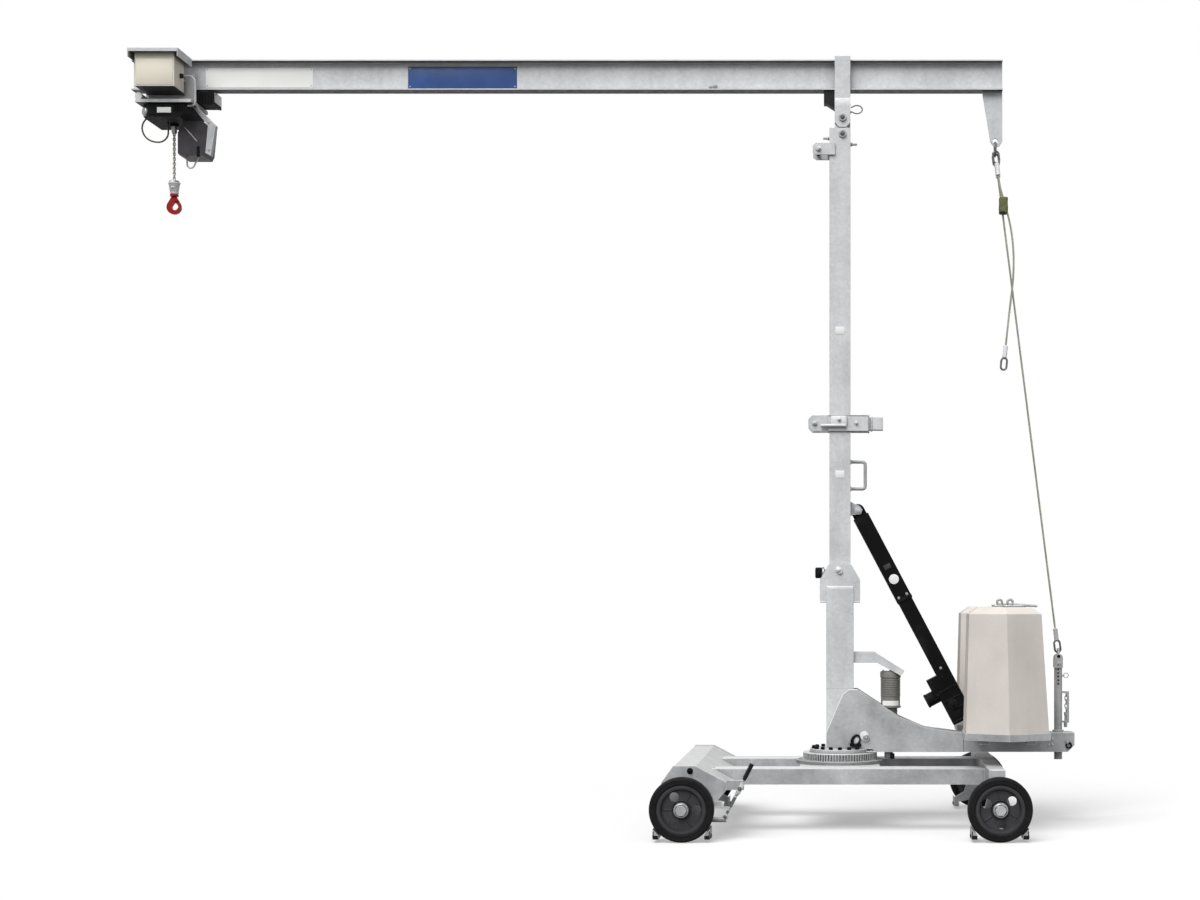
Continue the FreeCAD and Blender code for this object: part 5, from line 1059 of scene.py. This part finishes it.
# Slewing motor: fins, cap and base, blank label, bolts of the cap
MOTOR_X = 336
LABEL_OUT, LABEL_IN = 66.2, 63.5
p = Piece()
for i in range(8):
    p.lathe((MOTOR_X, 0, 846 + 15 * i), UP, [(62, 0), (67, 2), (67, 8), (62, 10)], 40)
p.lathe((MOTOR_X, 0, 968), UP, [(62, 0), (69, 3), (69, 34), (66, 44), (52, 45)], 40)
p.lathe((MOTOR_X, 0, 770), UP, [(66, 0), (70, 3), (70, 12), (64, 16)], 40)
p.done("motor_fins", "superstructure", "motor_grey")
p = Piece()
bend = turns(13, -54, 9)
p.skin([
    [Vector((MOTOR_X + r * math.sin(t), -r * math.cos(t), z))
     for r, row in ((LABEL_OUT, bend), (LABEL_IN, bend[::-1])) for t in row]
    for z in (786, 818)
])
p.done("motor_label", "superstructure", "motor_grey", "plate_white")
p = Piece()
for turn in turns(6, 30, 60):
    p.bolt((MOTOR_X + 56 * math.cos(turn), 56 * math.sin(turn), 1013), UP, 9)
p.done("motor_bolts", "superstructure", "fitting")

# Actuator: blank disc and plate, screws, collar, ribs of the gear motor and its housing
strut = Vector((STRUT_FOOT[0] - STRUT_HEAD[0], 0, STRUT_FOOT[1] - STRUT_HEAD[1])).normalized()
flank = Vector((strut.z, 0, -strut.x))
tilt = -math.degrees(math.atan2(strut.x, -strut.z))
STRUT_FACE, HOUSING_FACE = -53.5, -52
MOTOR_ALONG = 1336


def on_strut(along, out, y):
    """Place on the actuator, along its line from the upper pin and out on its left."""
    return Vector((STRUT_HEAD[0], y, STRUT_HEAD[1])) + strut * along + flank * out


p = Piece()
p.stud(on_strut(514, 0, STRUT_FACE), NEAR, (33, 0.9), (31, 1.5), 40)
p.done("actuator_disc", "superstructure", "black_paint", "plate_white")
p = Piece()
p.slab(on_strut(420, 0, STRUT_FACE), (24, 1, 16), 0.7, tilt)
p.done("actuator_plate", "superstructure", "black_paint", "bin_grey")
p = Piece()
for along, out, y in ((640, 30, STRUT_FACE), (640, -30, STRUT_FACE), (1180, 0, -49)):
    p.bolt(on_strut(along, out, y), NEAR, 12)
p.done("actuator_screws", "superstructure", "fitting")
p = Piece()
p.slab(on_strut(660, 0, -54), (56, 2.5, 10), 2, tilt)
for i in range(6):
    p.lathe(on_strut(MOTOR_ALONG, 104 + 11 * i, 0), flank, [(43, 0), (47, 2), (47, 6), (43, 8)], 32)
p.lathe(on_strut(MOTOR_ALONG, 172, 0), flank,
        [(43, 0), (48, 3), (48, 15), (40, 18), (20, 18)], 32)
for along in (1322, 1392, 1462, 1540):
    spot = on_strut(along, 24, HOUSING_FACE)
    p.plate(spot - Vector((62, 4, 5)), spot + Vector((62, 2, 5)), 2, tilt)
for along, out in ((1236, 100), (1236, 20), (1330, 100)):
    p.stud(on_strut(along, out, HOUSING_FACE), NEAR, (9, 5), (6, 7))
p.lathe((STRUT_HEAD[0], -19, STRUT_HEAD[1]), FAR,
        [(30, 0), (46, 0), (46, 38), (30, 38)], 40, True)
p.slab(on_strut(30, 0, 0), (46, 19, 32), 3, tilt)
p.lathe(on_strut(1430, 40, HOUSING_FACE), NEAR,
        [(34, -1), (34, 7), (30, 10), (14, 10), (14, 15), (10, 17)], 28)
p.done("gear_motor_ribs", "superstructure", "black_housing")

# Trolley: door of the control box and a dark plate under it as painted shade, axle bolts and hood
# screws
p = Piece()
p.plate((-4577, -300.5, 4836), (-4335, -296, 5008), 3)
p.done("box_door", "trolley", "beige_box")
# Painted shade: a thin dark plate under the control box.
p = Piece()
p.plate((-4581, -297, 4825), (-4331, -83, 4830), 1.5)
p.done("box_underside_shade", "trolley", "black_housing", "bin_grey")
p = Piece()
for x in (-4527, -4337):
    for s in SIDES:
        p.bolt((x, s * 80, 4917), (0, s, 0), 22)
for x in (-4594, -4456, -4318):
    for y in (-310, -100):
        p.stud((x, y, 5065.5), UP, (7, 1), (5, 1.5))
p.done("trolley_screws", "trolley", "fitting")

# Hoist: blank label, ribs and chain guide, end cap, bail of the chain bin, screws, cable gland
CHAIN_X = -4432
HOIST_BACK = -199   # the near plates reach back to here, into the hoist's face
BAIL_Y = -40
CAP_WAY = (-0.72, -0.69, 0)
p = Piece()
p.plate((-4475, -201.4, 4680), (-4383, HOIST_BACK, 4716), 0.8)
p.done("hoist_label", "trolley", "black_housing", "plate_white")
p = Piece()
for i in range(5):
    x = -4362 + 15 * i
    p.plate((x, -207, 4690), (x + 6, -198, 4738))
p.plate((-4530, -203, 4722), (-4370, HOIST_BACK, 4742))
p.plate((-4524, -204, 4666), (-4380, HOIST_BACK, 4674))
p.lathe((-4241, -88, 4486), DOWN, [(9, 0), (13, 5), (13, 62), (11, 68), (5, 70)], 18)
for i in range(5):
    x = -4248 + 20 * i
    p.plate((x, -76, 4772), (x + 8, -68, 4848))
p.lathe((CHAIN_X, 0, 4652), DOWN, [(13, -2), (30, -2), (30, 8), (22, 14), (13, 14)], 24, True)
p.done("hoist_ribs", "trolley", "black_housing")
p = Piece()
p.lathe((-4560, -172, 4693), CAP_WAY, [(30, -16), (30, 8), (25, 15), (12, 17)], 28)
p.lathe((CHAIN_X, 0, 4640), DOWN, [(13, 0), (18, 0), (18, 42), (15, 48), (13, 48)], 20, True)
p.plate((-4291, -98, 4500), (-4285, -94, 4626), 1.5, -41)
bail = [Vector((-4338, BAIL_Y, 4432)), Vector((-4333, BAIL_Y, 4400))]
bail += circle((-4308, BAIL_Y, 4378), 25, LEFT, DOWN, 10, 10, 150)
bail += [Vector((-4268, BAIL_Y, 4404)), Vector((-4252, BAIL_Y, 4436))]
p.tube(bail, 5.5, 10)
p.plate((-4147, -64, 4784), (-4139.5, 64, 4848))
for x, z in ((-4231, 4713), (-4166, 4640), (-4167, 4456)):
    p.stud((x, -110, z), NEAR, (7, 3), (4, 5))
p.done("hoist_trim", "trolley", "fitting")
p = Piece()
p.lathe((-4328, -186, 4924), RIGHT,
        [(7.4, -1), (16, -1), (16, 10), (12, 22), (7.4, 24)], 18, True)
p.done("cable_gland", "trolley", "rubber")

# Hook block: bands and side bolts
p = Piece()
p.lathe((CHAIN_X, 0, 4256), UP, [(36, 0), (39.5, 1), (39.5, 7), (36, 8)], 40)
p.lathe((CHAIN_X, 0, 4192), UP, [(24, 0), (29, 1), (29, 6), (25, 7)], 36)
for s in SIDES:
    p.bolt((CHAIN_X, s * 31, 4228), (0, s, 0), 13)
p.done("block_bands", "hook_block", "fitting", "plate_zinc")


# Floor, backdrop light and lamps

FLOOR_REACH, FLOOR_Z = 90, -0.001
FLOOR_DARK, FLOOR_PALE, FLOOR_GLOW = 0.11, 0.60, 0.36
WORLD_LIGHT, WORLD_BACK = 0.28, 1.0


def seen_directly(tree):
    """1 for what the camera or a reflection sees, and 0 for light on the object."""
    path = tree.nodes.new("ShaderNodeLightPath")
    seen = tree.nodes.new("ShaderNodeMath")
    seen.operation = "MAXIMUM"
    tree.links.new(path.outputs["Is Camera Ray"], seen.inputs[0])
    tree.links.new(path.outputs["Is Glossy Ray"], seen.inputs[1])
    return seen.outputs[0]


def between(tree, fac, low, high):
    """Value from low to high."""
    spread = tree.nodes.new("ShaderNodeMapRange")
    spread.inputs["To Min"].default_value = low
    spread.inputs["To Max"].default_value = high
    tree.links.new(fac, spread.inputs["Value"])
    return spread.outputs[0]


def floor():
    r = FLOOR_REACH
    data = bpy.data.meshes.new("floor")
    data.from_pydata([(-r, -r, 0), (r, -r, 0), (r, r, 0), (-r, r, 0)], [], [(0, 1, 2, 3)])
    thing = show("floor", data)
    thing.location.z = FLOOR_Z
    material = bpy.data.materials.new("floor")
    material.use_nodes = True
    tree = material.node_tree
    tree.nodes.remove(tree.nodes["Principled BSDF"])
    seen = seen_directly(tree)
    matt = tree.nodes.new("ShaderNodeBsdfDiffuse")
    tree.links.new(between(tree, seen, FLOOR_DARK, FLOOR_PALE), matt.inputs["Color"])
    glow = tree.nodes.new("ShaderNodeEmission")
    glow.inputs["Color"].default_value = (1, 1, 1, 1)
    level = tree.nodes.new("ShaderNodeMath")
    level.operation = "MULTIPLY"
    level.inputs[1].default_value = FLOOR_GLOW
    tree.links.new(seen, level.inputs[0])
    tree.links.new(level.outputs[0], glow.inputs["Strength"])
    both = tree.nodes.new("ShaderNodeAddShader")
    tree.links.new(matt.outputs[0], both.inputs[0])
    tree.links.new(glow.outputs[0], both.inputs[1])
    tree.links.new(both.outputs[0], tree.nodes["Material Output"].inputs["Surface"])
    data.materials.append(material)


def world():
    space = bpy.data.worlds.new("studio")
    scene.world = space
    space.use_nodes = True
    tree = space.node_tree
    back = tree.nodes["Background"]
    back.inputs["Color"].default_value = (1, 1, 1, 1)
    strength = between(tree, seen_directly(tree), WORLD_LIGHT, WORLD_BACK)
    tree.links.new(strength, back.inputs["Strength"])


def sun(name, strength, angle, pitch, turn):
    data = bpy.data.lights.new(name, "SUN")
    data.energy = strength
    data.angle = math.radians(angle)
    lamp = show(name, data)
    lamp.rotation_euler = (math.radians(pitch), 0, math.radians(turn))


floor()
world()
sun("key", strength=3.0, angle=45, pitch=40, turn=-26)
sun("fill", strength=0.70, angle=90, pitch=66, turn=40)
